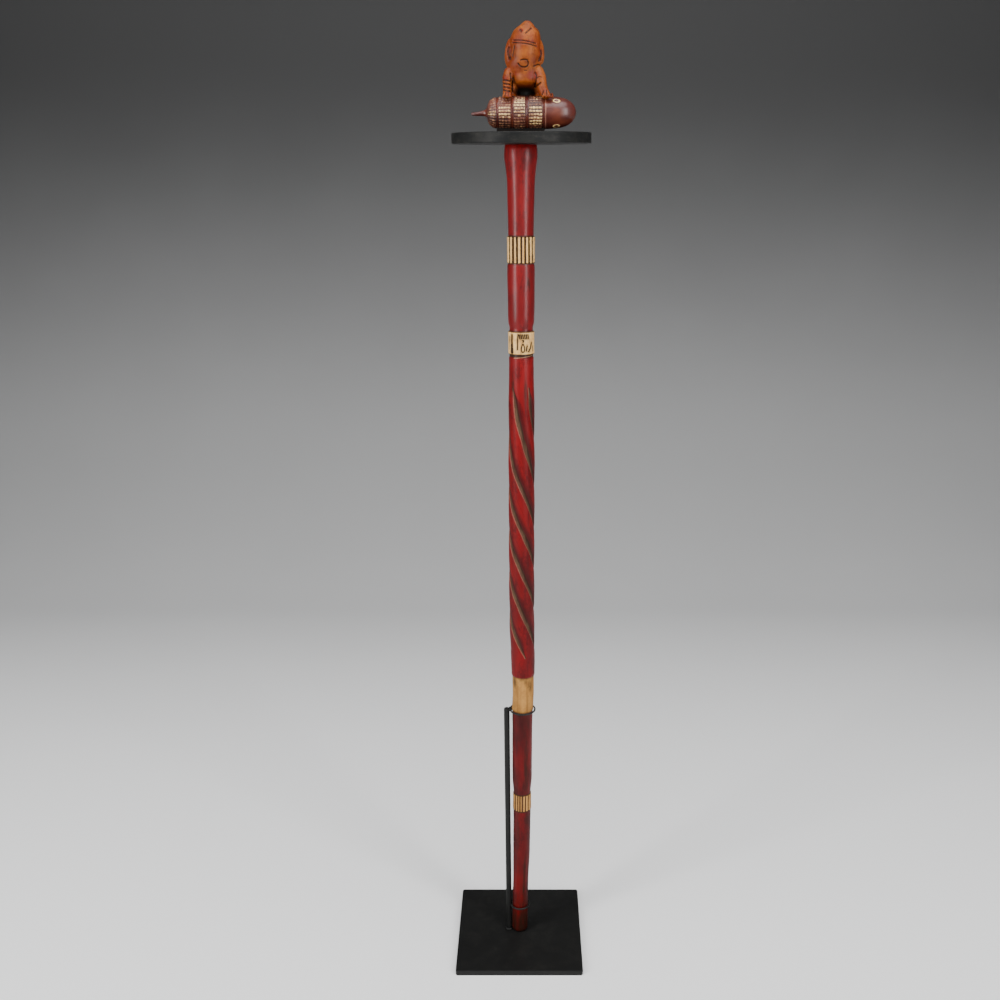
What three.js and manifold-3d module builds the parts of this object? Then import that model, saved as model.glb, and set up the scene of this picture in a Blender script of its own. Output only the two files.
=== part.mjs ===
// A carved and painted linguist staff, standing in its black steel display stand.
// Millimetres, +Z up, the front towards -Y. The origin is the centre of the base plate's underside.

import * as THREE from 'three';
import { mergeVertices } from 'three/addons/utils/BufferGeometryUtils.js';
import Module from 'manifold-3d';

const wasm = await Module();
wasm.setup();

// Air left between two pieces that touch
const contactGap = 0.3;

// Display stand
const plateWidth = 216;
const plateDepth = 216;
const plateThickness = 9.5;
const plateCornerRadius = 4;
const plateEdgeBevel = 0.7;
const rodRadius = 4.75;
const rodTopRounding = 1.6;
const rodWeldRadius = 6.8;
const rodWeldHeight = 2.6;
const rodAboveUpperRing = 0.4;
const upperWireRadius = 1.4;
const lowerWireRadius = 1.35;
const upperRingSlack = 1.55;
const upperRingNotch = 0.6;
const lowerRingSlack = 1.7;
const lowerRingNotch = 2.85;
const lowerRingHeight = 52;

// Staff, length of each carved stretch from the foot up
const footTaperLength = 246.5;
const lowerBandLength = 31;
const lowerRedLength = 157;
const bareLength = 64.5;
const twistLength = 526;
const notchLength = 6;
const middleBandLength = 33.5;
const upperRedLength = 100.5;
const upperBandLength = 38;
const headLength = 127.5;

// Staff, radii from the foot up
const footTipRadius = 9.5;
const footRadius = 13.6;
const footWaistRadius = 13.2;
const footTaperTopRadius = 15;
const lowerBandRadius = 15.6;
const lowerNeckRadius = 14.5;
const lowerRedRadius = 16.8;
const bareRadius = 17.7;
const lipRadius = 19;
const twistRadius = 20.2;
const twistTopRadius = 18.7;
const notchRadius = 17.9;
const middleBandRadius = 19.6;
const collarRadius = 17.6;
const upperRedRadius = 20.3;
const upperBandRadius = 20.4;
const neckRadius = 18.5;
const headRadius = 24;
const headRimRadius = 22.7;

// Staff, carving
const footRounding = 7;
const lipHeight = 2.6;
const bandEdge = 1.2;
const upperFluteCount = 20;
const upperFluteDepth = 1.5;
const lowerFluteCount = 18;
const lowerFluteDepth = 1;
const twistGrooveCount = 4;
const twistGrooveDepth = 2.3;
const twistDegreesPerMm = 1.3;
const twistDegreesPerMmAtTop = 0.3;
const twistEaseLength = 155;
const twistFrontLevel = 410;
const twistPlainBelow = 34;
const twistPlainAbove = 42;
const twistFade = 36;
const staffBow = 5;

// Platform and finial
const finialForwardTilt = 1.5;
const finialSideTilt = 0.25;
const discRadius = 100;
const discThickness = 14.8;
const discEdgeBevel = 1.5;
const discSideOffset = 1.1;
const beastRadius = 22.2;
const beastBodyLength = 127;
const beastTailLength = 22;
const beastBackFromStaff = 48;
const beastFootLength = 68;
const beastFootDepth = 30;
const beastFootHeight = 4.3;
const beastGrooveDepth = 0.8;
const beastEyeLength = 4.6;
const beastEyeWidth = 3.2;
const beastEyeRise = 1;
const upperEyeTurn = 45;
const lowerEyeTurn = -58;
const figureHeight = 97;
const figureSideOffset = 8;

const plainSides = 16;
const black = '#232323';
const staffRed = '#8c1f24';
const turn = Math.PI * 2;

// A closed body from a stack of rings. Each ring runs anticlockwise, seen from the next one.
// Rings with as many points are joined point to point, others by their angles.
function loft(rings) {
  const positions = [];
  const triangles = [];
  const starts = rings.map((ring) => {
    const start = positions.length / 3;
    ring.points.forEach((point) => positions.push(point.x, point.y, point.z));
    return start;
  });
  for (let level = 0; level + 1 < rings.length; level += 1) {
    const lower = rings[level];
    const upper = rings[level + 1];
    if (lower.points.length === upper.points.length) {
      joinEqual(triangles, lower.points.length, starts[level], starts[level + 1]);
    } else {
      joinByAngle(triangles, lower, upper, starts[level], starts[level + 1]);
    }
  }
  closeEnd(positions, triangles, rings[0], starts[0], true);
  closeEnd(positions, triangles, rings.at(-1), starts.at(-1), false);
  const geometry = new THREE.BufferGeometry();
  geometry.setAttribute('position', new THREE.Float32BufferAttribute(positions, 3));
  geometry.setIndex(triangles);
  geometry.computeVertexNormals();
  return geometry;
}

function joinEqual(triangles, count, lowerStart, upperStart) {
  for (let side = 0; side < count; side += 1) {
    const next = (side + 1) % count;
    triangles.push(lowerStart + side, lowerStart + next, upperStart + next);
    triangles.push(lowerStart + side, upperStart + next, upperStart + side);
  }
}

// Walks round both rings and always steps along the one whose next point comes first
function joinByAngle(triangles, lower, upper, lowerStart, upperStart) {
  const lowerOrder = orderByAngle(lower.angles);
  const upperOrder = orderByAngle(upper.angles);
  let a = 0;
  let b = 0;
  while (a < lowerOrder.length || b < upperOrder.length) {
    const here = lowerOrder[a % lowerOrder.length];
    const above = upperOrder[b % upperOrder.length];
    const nextHere = a < lowerOrder.length ? angleAfter(lowerOrder, a + 1) : Infinity;
    const nextAbove = b < upperOrder.length ? angleAfter(upperOrder, b + 1) : Infinity;
    if (nextHere <= nextAbove) {
      a += 1;
      const stepped = lowerOrder[a % lowerOrder.length];
      triangles.push(lowerStart + here.index, lowerStart + stepped.index, upperStart + above.index);
    } else {
      b += 1;
      const stepped = upperOrder[b % upperOrder.length];
      triangles.push(lowerStart + here.index, upperStart + stepped.index, upperStart + above.index);
    }
  }
}

function orderByAngle(angles) {
  return angles
    .map((angle, index) => ({ index, angle: THREE.MathUtils.euclideanModulo(angle, turn) }))
    .sort((first, second) => first.angle - second.angle);
}

function angleAfter(order, step) {
  return order[step % order.length].angle + (step >= order.length ? turn : 0);
}

function closeEnd(positions, triangles, ring, start, isFirst) {
  const middle = new THREE.Vector3();
  ring.points.forEach((point) => middle.add(point));
  middle.divideScalar(ring.points.length);
  const hub = positions.length / 3;
  positions.push(middle.x, middle.y, middle.z);
  ring.points.forEach((point, side) => {
    const next = (side + 1) % ring.points.length;
    const pair = isFirst ? [start + next, start + side] : [start + side, start + next];
    triangles.push(hub, ...pair);
  });
}

function evenAngles(count) {
  return Array.from({ length: count }, (unused, side) => (turn * side) / count);
}

// Smooth curve through pairs of place and value, read at one place
function smoothValue(pairs, place) {
  const last = pairs.length - 1;
  if (place <= pairs[0][0]) {
    return pairs[0][1];
  }
  if (place >= pairs[last][0]) {
    return pairs[last][1];
  }
  const right = pairs.findIndex((pair) => pair[0] > place);
  const left = right - 1;
  const span = pairs[right][0] - pairs[left][0];
  const share = (place - pairs[left][0]) / span;
  const leftSlope = slopeAt(pairs, left);
  const rightSlope = slopeAt(pairs, right);
  const square = share * share;
  const cube = square * share;
  return (2 * cube - 3 * square + 1) * pairs[left][1]
    + (cube - 2 * square + share) * span * leftSlope
    + (3 * square - 2 * cube) * pairs[right][1]
    + (cube - square) * span * rightSlope;
}

function slopeAt(pairs, index) {
  if (index === 0 || index === pairs.length - 1) {
    return 0;
  }
  const before = (pairs[index][1] - pairs[index - 1][1]) / (pairs[index][0] - pairs[index - 1][0]);
  const after = (pairs[index + 1][1] - pairs[index][1]) / (pairs[index + 1][0] - pairs[index][0]);
  return before * after <= 0 ? 0 : (2 * before * after) / (before + after);
}

function toSolid(geometry) {
  const bare = geometry.clone();
  bare.deleteAttribute('normal');
  bare.deleteAttribute('uv');
  const merged = mergeVertices(bare, 1e-4);
  return new wasm.Manifold(new wasm.Mesh({
    numProp: 3,
    vertProperties: merged.attributes.position.array,
    triVerts: merged.index.array,
  }));
}

function toGeometry(solid) {
  const mesh = solid.getMesh();
  const geometry = new THREE.BufferGeometry();
  geometry.setAttribute('position', new THREE.BufferAttribute(mesh.vertProperties, 3));
  geometry.setIndex(new THREE.BufferAttribute(mesh.triVerts, 1));
  geometry.computeVertexNormals();
  return geometry;
}

function finish(name, geometry, color, roughness, metalness) {
  const material = new THREE.MeshStandardMaterial({ color, roughness, metalness });
  const mesh = new THREE.Mesh(geometry, material);
  mesh.name = name;
  return mesh;
}

// Levels of the staff above its foot
const lowerBandLevel = footTaperLength;
const lowerRedLevel = lowerBandLevel + lowerBandLength;
const bareLevel = lowerRedLevel + lowerRedLength;
const lipLevel = bareLevel + bareLength;
const notchLevel = lipLevel + twistLength;
const middleBandLevel = notchLevel + notchLength;
const upperRedLevel = middleBandLevel + middleBandLength;
const upperBandLevel = upperRedLevel + upperRedLength;
const headLevel = upperBandLevel + upperBandLength;
const staffLength = headLevel + headLength;
const staffFootHeight = plateThickness + contactGap;

// The wood's natural bow to the right, as a share of the staff's length and of its bow
function bowAt(level) {
  const shares = [
    [0, 0.06], [0.13, 0.73], [0.19, 0.9], [0.32, 1.07], [0.357, 1.37], [0.4, 1.23], [0.45, 0.96],
    [0.56, 0.9], [0.68, 0.94], [0.8, 0.88], [1, 0.84],
  ];
  return staffBow * smoothValue(shares, level / staffLength);
}

// Radius of the plain stretches of the staff, as pairs of level and radius
const footTaperProfile = [
  [0, footTipRadius],
  [footRounding * 0.3, footTipRadius + (footRadius - footTipRadius) * 0.72],
  [footRounding, footRadius],
  [footTaperLength * 0.37, footWaistRadius],
  [footTaperLength * 0.65, footWaistRadius + (footTaperTopRadius - footWaistRadius) * 0.7],
  [footTaperLength, footTaperTopRadius],
];
const lowerRedProfile = [
  [lowerRedLevel, lowerNeckRadius],
  [lowerRedLevel + lowerRedLength * 0.08, lowerNeckRadius + (lowerRedRadius - lowerNeckRadius) * 0.35],
  [lowerRedLevel + lowerRedLength * 0.19, lowerRedRadius * 0.985],
  [bareLevel, lowerRedRadius],
];
const upperRedProfile = [
  [upperRedLevel, collarRadius],
  [upperRedLevel + upperRedLength * 0.045, collarRadius],
  [upperRedLevel + upperRedLength * 0.14, upperRedRadius * 0.955],
  [upperRedLevel + upperRedLength * 0.5, upperRedRadius * 0.98],
  [upperRedLevel + upperRedLength * 0.9, upperRedRadius],
  [upperRedLevel + upperRedLength * 0.96, upperRedRadius * 0.985],
  [upperBandLevel, upperRedRadius * 0.95],
];
const headProfile = [
  [headLevel, neckRadius],
  [headLevel + headLength * 0.22, neckRadius * 1.035],
  [headLevel + headLength * 0.6, neckRadius * 1.09],
  [headLevel + headLength * 0.76, neckRadius + (headRadius - neckRadius) * 0.68],
  [headLevel + headLength * 0.87, headRadius],
  [headLevel + headLength * 0.95, headRadius * 0.985],
  [staffLength, headRimRadius],
];

function staffRing(level, angles, radii) {
  const points = angles.map((angle, side) => new THREE.Vector3(
    bowAt(level) + radii[side] * Math.sin(angle),
    -radii[side] * Math.cos(angle),
    staffFootHeight + level,
  ));
  return { points, angles };
}

function plainRings(profile, shares) {
  const from = profile[0][0];
  const length = profile.at(-1)[0] - from;
  return shares.map((share) => {
    const level = from + length * share;
    const radius = smoothValue(profile, level);
    return staffRing(level, evenAngles(plainSides), Array(plainSides).fill(radius));
  });
}

// A proud band of upright flutes, each with a flat ridge and a narrow groove
function flutedRings(level, length, count, ridgeRadius, depth, radiusBelow, radiusAbove) {
  const places = [0, 0.3, 0.7];
  const angles = [];
  const dips = [];
  for (let flute = 0; flute < count; flute += 1) {
    places.forEach((place) => {
      angles.push((turn * (flute + place)) / count);
      dips.push(place === 0 ? depth : 0);
    });
  }
  const around = (radius) => Array(angles.length).fill(radius);
  const fluted = dips.map((dip) => ridgeRadius - dip);
  return [
    staffRing(level, angles, around(radiusBelow)),
    staffRing(level + bandEdge, angles, fluted),
    staffRing(level + length - bandEdge, angles, fluted),
    staffRing(level + length, angles, around(radiusAbove)),
  ];
}

function smoothStep(from, to, value) {
  return THREE.MathUtils.smoothstep(value, from, to);
}

// How far the grooves have turned to the right of the front at a level above the lip
function twistAngle(levelAboveLip) {
  const easeStart = twistLength - twistPlainAbove - twistEaseLength;
  const steady = (from, to) => (from - to) * twistDegreesPerMm;
  const eased = (distance) => {
    const capped = Math.min(distance, twistEaseLength);
    const loss = (twistDegreesPerMm - twistDegreesPerMmAtTop) / twistEaseLength;
    return capped * twistDegreesPerMm - (loss * capped * capped) / 2;
  };
  const turned = (above) => (above <= easeStart
    ? -steady(easeStart, above)
    : eased(above - easeStart));
  return THREE.MathUtils.degToRad(turned(twistFrontLevel) - turned(levelAboveLip));
}

function twistRings() {
  const across = [[0, 1], [0.1, 0.85], [0.155, 0.2], [0.36, -0.1], [0.64, -0.1], [0.845, 0.2], [0.9, 0.85]];
  const bodyProfile = [
    [0, lipRadius - 0.5],
    [lipHeight, lipRadius],
    [twistLength * 0.12, twistRadius * 0.985],
    [twistLength * 0.5, twistRadius],
    [twistLength * 0.88, twistRadius * 0.97],
    [twistLength * 0.955, twistTopRadius],
    [twistLength, twistTopRadius],
  ];
  const carvedFrom = twistPlainBelow;
  const carvedTo = twistLength - twistPlainAbove;
  const steps = 25;
  const levels = [0, lipHeight];
  for (let step = 0; step <= steps; step += 1) {
    levels.push(carvedFrom + ((carvedTo - carvedFrom) * step) / steps);
  }
  levels.push(twistLength * 0.955, twistLength);
  return levels.map((above) => {
    const fadeIn = smoothStep(carvedFrom, carvedFrom + twistFade, above);
    const fadeOut = 1 - smoothStep(carvedTo - twistFade, carvedTo, above);
    const depth = twistGrooveDepth * fadeIn * fadeOut;
    const body = smoothValue(bodyProfile, above);
    const angles = [];
    const radii = [];
    for (let groove = 0; groove < twistGrooveCount; groove += 1) {
      across.forEach(([place, dip]) => {
        angles.push(twistAngle(above) + (turn * (groove + place)) / twistGrooveCount);
        radii.push(body - depth * dip);
      });
    }
    return staffRing(lipLevel + above, angles, radii);
  });
}

const finialTilt = new THREE.Euler(
  THREE.MathUtils.degToRad(finialForwardTilt),
  THREE.MathUtils.degToRad(-finialSideTilt),
  0,
);

// The head is cut off square to the tilted platform that lies on it
function tiltedTop(ring) {
  const middle = new THREE.Vector3(bowAt(staffLength), 0, staffFootHeight + staffLength);
  const points = ring.points.map((point) => point.clone().sub(middle).applyEuler(finialTilt).add(middle));
  return { points, angles: ring.angles };
}

function makeShaft() {
  const around = (radius) => Array(plainSides).fill(radius);
  const plain = (level, radius) => staffRing(level, evenAngles(plainSides), around(radius));
  const head = plainRings(headProfile, [0.22, 0.45, 0.6, 0.69, 0.77, 0.83, 0.88, 0.94]);
  const rings = [
    ...plainRings(footTaperProfile, [0, 0.009, 0.029, 0.12, 0.37, 0.6, 0.8, 0.985]),
    ...flutedRings(
      lowerBandLevel,
      lowerBandLength,
      lowerFluteCount,
      lowerBandRadius,
      lowerFluteDepth,
      footTaperTopRadius,
      lowerNeckRadius,
    ),
    ...plainRings(lowerRedProfile, [0.035, 0.09, 0.14, 0.19, 0.6, 0.985]),
    plain(bareLevel, lowerRedRadius),
    plain(bareLevel + bandEdge, bareRadius),
    plain(bareLevel + bareLength / 2, bareRadius),
    plain(lipLevel - 0.6, bareRadius),
    ...twistRings(),
    plain(notchLevel + bandEdge, notchRadius),
    plain(middleBandLevel - bandEdge, notchRadius),
    plain(middleBandLevel, middleBandRadius),
    plain(middleBandLevel + middleBandLength / 2, middleBandRadius),
    plain(upperRedLevel - 0.6, middleBandRadius),
    ...plainRings(upperRedProfile, [0, 0.045, 0.09, 0.14, 0.5, 0.75, 0.9, 0.96, 0.985]),
    ...flutedRings(
      upperBandLevel,
      upperBandLength,
      upperFluteCount,
      upperBandRadius,
      upperFluteDepth,
      upperRedRadius * 0.95,
      neckRadius,
    ),
    ...head,
    tiltedTop(plain(staffLength, headRimRadius)),
  ];
  return finish('staff_shaft', loft(rings), staffRed, 0.42, 0);
}

// Plan of the wire rings: round the staff, and against the rod, which may notch the wire
function ringPlace(level, staffRadius, slack, wireRadius, notch) {
  const radius = staffRadius + slack + wireRadius;
  const centre = new THREE.Vector3(bowAt(level), 0, staffFootHeight + level);
  const rodX = centre.x - radius - wireRadius - contactGap - rodRadius + notch;
  return { radius, centre, rodX, wireRadius };
}

const upperRingPlace = ringPlace(bareLevel, bareRadius, upperRingSlack, upperWireRadius, upperRingNotch);
const lowerRingPlace = ringPlace(
  lowerRingHeight,
  smoothValue(footTaperProfile, lowerRingHeight),
  lowerRingSlack,
  lowerWireRadius,
  lowerRingNotch,
);
const rodLean = (upperRingPlace.rodX - lowerRingPlace.rodX) / (upperRingPlace.centre.z - lowerRingPlace.centre.z);

function makeWireRing(name, place) {
  const torus = new THREE.TorusGeometry(place.radius, place.wireRadius, 6, 24);
  const post = new THREE.CylinderGeometry(rodRadius + contactGap, rodRadius + contactGap, place.wireRadius * 4, 16);
  post.rotateX(turn / 4);
  post.rotateY(Math.atan(rodLean));
  post.translate(place.rodX - place.centre.x, 0, 0);
  const mesh = finish(name, toGeometry(toSolid(torus).subtract(toSolid(post))), black, 0.5, 0.6);
  mesh.position.copy(place.centre);
  return mesh;
}

function makePlate() {
  const halfWidth = plateWidth / 2 - plateEdgeBevel;
  const halfDepth = plateDepth / 2 - plateEdgeBevel;
  const corner = plateCornerRadius - plateEdgeBevel;
  const outline = new THREE.Shape();
  outline.moveTo(-halfWidth + corner, -halfDepth);
  outline.lineTo(halfWidth - corner, -halfDepth);
  outline.absarc(halfWidth - corner, -halfDepth + corner, corner, -turn / 4, 0);
  outline.absarc(halfWidth - corner, halfDepth - corner, corner, 0, turn / 4);
  outline.absarc(-halfWidth + corner, halfDepth - corner, corner, turn / 4, turn / 2);
  outline.absarc(-halfWidth + corner, -halfDepth + corner, corner, turn / 2, turn * 0.75);
  const geometry = new THREE.ExtrudeGeometry(outline, {
    depth: plateThickness - plateEdgeBevel * 2,
    bevelSize: plateEdgeBevel,
    bevelThickness: plateEdgeBevel,
    bevelSegments: 1,
    curveSegments: 3,
  });
  geometry.translate(0, 0, plateEdgeBevel);
  return finish('base_plate', geometry, black, 0.55, 0.5);
}

// Straight rod beside the staff, with a weld fillet on the plate and a rounded head
function makeRod() {
  const foot = plateThickness + contactGap;
  const topHeight = upperRingPlace.centre.z + upperWireRadius + rodAboveUpperRing;
  const footX = lowerRingPlace.rodX + (foot - lowerRingPlace.centre.z) * rodLean;
  const length = topHeight - foot;
  const profile = [
    new THREE.Vector2(0, 0),
    new THREE.Vector2(rodWeldRadius, 0),
    new THREE.Vector2(rodRadius + (rodWeldRadius - rodRadius) * 0.3, rodWeldHeight * 0.45),
    new THREE.Vector2(rodRadius, rodWeldHeight),
    new THREE.Vector2(rodRadius, length - rodTopRounding),
    new THREE.Vector2(rodRadius - rodTopRounding * 0.3, length - rodTopRounding * 0.3),
    new THREE.Vector2(rodRadius - rodTopRounding, length),
    new THREE.Vector2(0, length),
  ];
  const geometry = new THREE.LatheGeometry(profile, 16);
  geometry.rotateX(turn / 4);
  const mesh = finish('support_rod', geometry, black, 0.5, 0.6);
  mesh.position.set(footX, 0, foot);
  mesh.rotation.y = Math.atan(rodLean);
  return mesh;
}

function makeDisc() {
  const profile = [
    new THREE.Vector2(0, 0),
    new THREE.Vector2(discRadius - discEdgeBevel, 0),
    new THREE.Vector2(discRadius, discEdgeBevel),
    new THREE.Vector2(discRadius, discThickness - discEdgeBevel),
    new THREE.Vector2(discRadius - discEdgeBevel, discThickness),
    new THREE.Vector2(0, discThickness),
  ];
  const geometry = new THREE.LatheGeometry(profile, 40);
  geometry.rotateX(turn / 4);
  geometry.translate(discSideOffset, 0, contactGap);
  return finish('platform_disc', geometry, '#26262a', 0.6, 0);
}

// The beast lies along X. Places and radii are shares of its body's length and radius.
const beastAxisHeight = contactGap + discThickness + contactGap + beastFootHeight + beastRadius;

function beastRing(x, radius, drop, grow) {
  const angles = evenAngles(18);
  const points = angles.map((angle) => new THREE.Vector3(
    x,
    (radius + grow) * Math.cos(angle),
    beastAxisHeight - drop + (radius + grow) * Math.sin(angle),
  ));
  return { points, angles };
}

// Two close grooves between belts: place of the groove's middle and its half width
const beastDividers = [[0.122, 0.013], [0.286, 0.015], [0.449, 0.019], [0.633, 0.012]];

function beastBody(grow, grooved) {
  const outline = [
    [0, 0.3], [0.012, 0.54], [0.04, 0.77], [0.09, 0.92], [0.15, 0.97], [0.35, 1], [0.6, 1],
    [0.72, 0.97], [0.8, 0.93], [0.88, 0.82], [0.94, 0.63], [0.98, 0.38], [1, 0.12],
  ];
  const shares = [0, 0.012, 0.04, 0.075, 0.2, 0.72, 0.8, 0.86, 0.91, 0.95, 0.98, 1];
  const rows = shares.map((share) => ({ share, dip: 0 }));
  beastDividers.forEach(([middle, half]) => {
    rows.push({ share: middle - half, dip: 0 });
    if (grooved) {
      rows.push({ share: middle - half * 0.5, dip: beastGrooveDepth });
      rows.push({ share: middle + half * 0.5, dip: beastGrooveDepth });
    }
    rows.push({ share: middle + half, dip: 0 });
  });
  rows.sort((first, second) => first.share - second.share);
  const body = rows.map(({ share, dip }) => beastRing(
    share * beastBodyLength - beastBackFromStaff,
    beastRadius * smoothValue(outline, share) - dip,
    0,
    grow,
  ));
  const tailRows = [[-1, 0.05, 0.06], [-0.95, 0.075, 0.06], [-0.6, 0.1, 0.09], [-0.25, 0.15, 0.11], [-0.05, 0.22, 0.08]];
  const tail = tailRows.map(([share, radius, drop]) => beastRing(
    share * beastTailLength - beastBackFromStaff,
    beastRadius * radius,
    beastRadius * drop,
    grow,
  ));
  return toSolid(loft([...tail, ...body]));
}

function beastFoot() {
  const halfLength = beastFootLength / 2;
  const halfDepth = beastFootDepth / 2;
  const height = beastFootHeight + beastRadius * 0.45;
  const shape = new THREE.Shape();
  shape.moveTo(-halfLength, -halfDepth);
  shape.lineTo(halfLength, -halfDepth);
  shape.lineTo(halfLength, halfDepth);
  shape.lineTo(-halfLength, halfDepth);
  const geometry = new THREE.ExtrudeGeometry(shape, { depth: height, bevelEnabled: false });
  geometry.translate(0, 0, contactGap + discThickness + contactGap);
  return toSolid(geometry);
}

function beastEye(eyeTurn) {
  const x = 0.775 * beastBodyLength - beastBackFromStaff;
  const geometry = new THREE.SphereGeometry(1, 12, 8);
  geometry.scale(beastEyeLength, beastRadius * 0.06 + beastEyeRise, beastEyeWidth);
  geometry.translate(0, -beastRadius * 0.91, 0);
  geometry.rotateX(-THREE.MathUtils.degToRad(eyeTurn));
  geometry.translate(x, 0, beastAxisHeight);
  return toSolid(geometry);
}

function makeBeast() {
  const solid = beastBody(0, true).add(beastFoot()).add(beastEye(upperEyeTurn)).add(beastEye(lowerEyeTurn));
  return finish('striped_beast', toGeometry(solid), '#7c3a2c', 0.5, 0);
}

// The figure's own frame: X from its middle, Z from the beast's back, as shares of its height
const figureBase = beastAxisHeight + beastRadius;
const share = (value) => value * figureHeight;
const figurePoint = (x, y, z) => new THREE.Vector3(figureSideOffset + share(x), share(y), figureBase + share(z));

// Each row of the head and trunk: height, sideways middle, half width, front depth, back depth
const figureRows = [
  [-0.06, 0, 0.12, 0, 0.2],
  [0.06, 0, 0.125, 0, 0.245],
  [0.1, 0, 0.145, 0.05, 0.252],
  [0.13, 0, 0.17, 0.15, 0.25],
  [0.175, 0, 0.19, 0.2, 0.242],
  [0.24, 0, 0.2, 0.2, 0.235],
  [0.3, -0.01, 0.22, 0.172, 0.222],
  [0.35, -0.03, 0.24, 0.178, 0.2],
  [0.41, -0.033, 0.245, 0.205, 0.186],
  [0.5, -0.015, 0.225, 0.232, 0.187],
  [0.58, -0.008, 0.216, 0.25, 0.197],
  [0.67, -0.01, 0.222, 0.257, 0.205],
  [0.76, -0.01, 0.222, 0.24, 0.19],
  [0.81, -0.003, 0.208, 0.222, 0.162],
  [0.865, 0.003, 0.183, 0.192, 0.115],
  [0.892, 0.006, 0.161, 0.172, 0.085],
  [0.917, 0.004, 0.128, 0.152, 0.06],
  [0.946, 0.015, 0.089, 0.128, 0.028],
  [0.975, 0.02, 0.05, 0.102, -0.01],
  [1, 0.022, 0.014, 0.075, -0.045],
];
const mouthGrooves = [0.643, 0.694];
const mouthGrooveHalfWidth = 0.013;
const mouthSlope = 0.1;
const mouthDepth = 0.018;

function figureColumn(index) {
  return figureRows.map((row) => [row[0], row[index]]);
}

// Depth of the two mouth grooves at one height, from 0 to 1
function mouthDip(height) {
  const dips = mouthGrooves.map((groove) => 1 - Math.abs(height - groove) / mouthGrooveHalfWidth);
  return Math.max(0, ...dips);
}

function figureTrunk() {
  const mouthHeights = mouthGrooves.flatMap((groove) => [
    groove - mouthGrooveHalfWidth, groove, groove + mouthGrooveHalfWidth,
  ]);
  const heights = [
    -0.06, 0.06, 0.09, 0.115, 0.14, 0.175, 0.24, 0.3, 0.35, 0.42, 0.5, 0.57,
    ...mouthHeights, 0.76, 0.81, 0.86, 0.893, 0.92, 0.948, 0.975, 1,
  ];
  const rings = heights.map((height) => {
    const [middle, halfWidth, front, back] = [1, 2, 3, 4].map((index) => smoothValue(figureColumn(index), height));
    const slant = mouthSlope * (smoothStep(0.5, 0.63, height) - smoothStep(0.71, 0.85, height));
    const angles = evenAngles(20);
    const points = angles.map((angle) => {
      const facing = smoothStep(0.2, 0.6, Math.cos(angle));
      const inset = 1 - (mouthDepth / halfWidth) * mouthDip(height) * facing;
      const across = halfWidth * inset * Math.sin(angle);
      const middleDepth = (back - front) / 2;
      const halfDepth = ((back + front) / 2) * inset;
      return figurePoint(middle + across, middleDepth - halfDepth * Math.cos(angle), height - slant * across);
    });
    return { points, angles };
  });
  return toSolid(loft(rings));
}

// A ball in the figure's frame, placed and sized in shares of its height
function figureBall([x, y, z], [radiusX, radiusY, radiusZ], around = 10, rows = 6) {
  const geometry = new THREE.SphereGeometry(1, around, rows);
  const middle = figurePoint(x, y, z);
  geometry.scale(share(radiusX), share(radiusY), share(radiusZ));
  geometry.translate(middle.x, middle.y, middle.z);
  return toSolid(geometry);
}

// A limb through stations of place and radius
function limb(stations, sides) {
  const places = stations.map(([x, y, z]) => figurePoint(x, y, z));
  const rings = stations.map((station, index) => {
    const before = places[Math.max(index - 1, 0)];
    const after = places[Math.min(index + 1, places.length - 1)];
    const along = after.clone().sub(before).normalize();
    const first = new THREE.Vector3(1, 0, 0).cross(along).normalize();
    const second = along.clone().cross(first);
    const angles = evenAngles(sides);
    const points = angles.map((angle) => places[index].clone()
      .addScaledVector(first, share(station[3]) * Math.cos(angle))
      .addScaledVector(second, share(station[3]) * Math.sin(angle)));
    return { points, angles };
  });
  return toSolid(loft(rings));
}

// Foreleg with cut rings round its lower half, down to the toes on the beast's back
function foreleg({ shoulderX, elbowX, wristX, toesX, thickness, cuts, cutDepth }) {
  const stations = [
    [shoulderX, -0.02, 0.37, thickness * 0.6],
    [shoulderX, -0.045, 0.32, thickness],
    [elbowX, -0.085, 0.25, thickness * 1.05],
  ];
  for (let cut = 0; cut < cuts; cut += 1) {
    const along = (cut + 0.5) / cuts;
    const x = elbowX + (wristX - elbowX) * along;
    const y = -0.09 - 0.035 * along;
    const level = 0.225 - 0.14 * along;
    stations.push([x, y, level + 0.01, thickness - cutDepth]);
    stations.push([x, y, level - 0.008, thickness]);
  }
  stations.push([wristX, -0.14, 0.05, thickness * 0.9]);
  stations.push([toesX, -0.17, 0.015, thickness]);
  stations.push([toesX, -0.19, -0.03, thickness * 0.6]);
  return limb(stations, 7);
}

function toes(middle, spacing) {
  return [-1, 0, 1].map((place) => figureBall(
    [middle + place * spacing, -0.2, -0.01],
    [spacing * 0.6, 0.045, 0.042],
    7,
    4,
  ));
}

function hindleg(x, outward) {
  const thigh = figureBall([x, 0.07, 0.12], [0.085, 0.17, 0.12]);
  const foot = figureBall([x + outward, 0.1, -0.005], [0.07, 0.14, 0.055]);
  return thigh.add(foot);
}

// A long upright ear rim on the side of the head, hollowed towards the front
function earRim(x, z, halfHeight) {
  return figureBall([x, -0.01, z], [0.062, 0.1, halfHeight]);
}

function earHollow(x, z) {
  return figureBall([x, -0.1, z], [0.026, 0.06, 0.11], 8, 5);
}

// A round-bottomed line, to be cut into the front of the figure
function lineCut(places) {
  const path = new THREE.CatmullRomCurve3(places.map(([x, y, z]) => figurePoint(x, y, z)));
  const section = new THREE.Shape();
  section.absarc(0, 0, share(0.012), 0, turn);
  const geometry = new THREE.ExtrudeGeometry(section, {
    steps: places.length + 1,
    extrudePath: path,
    curveSegments: 3,
  });
  return toSolid(geometry);
}

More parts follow.
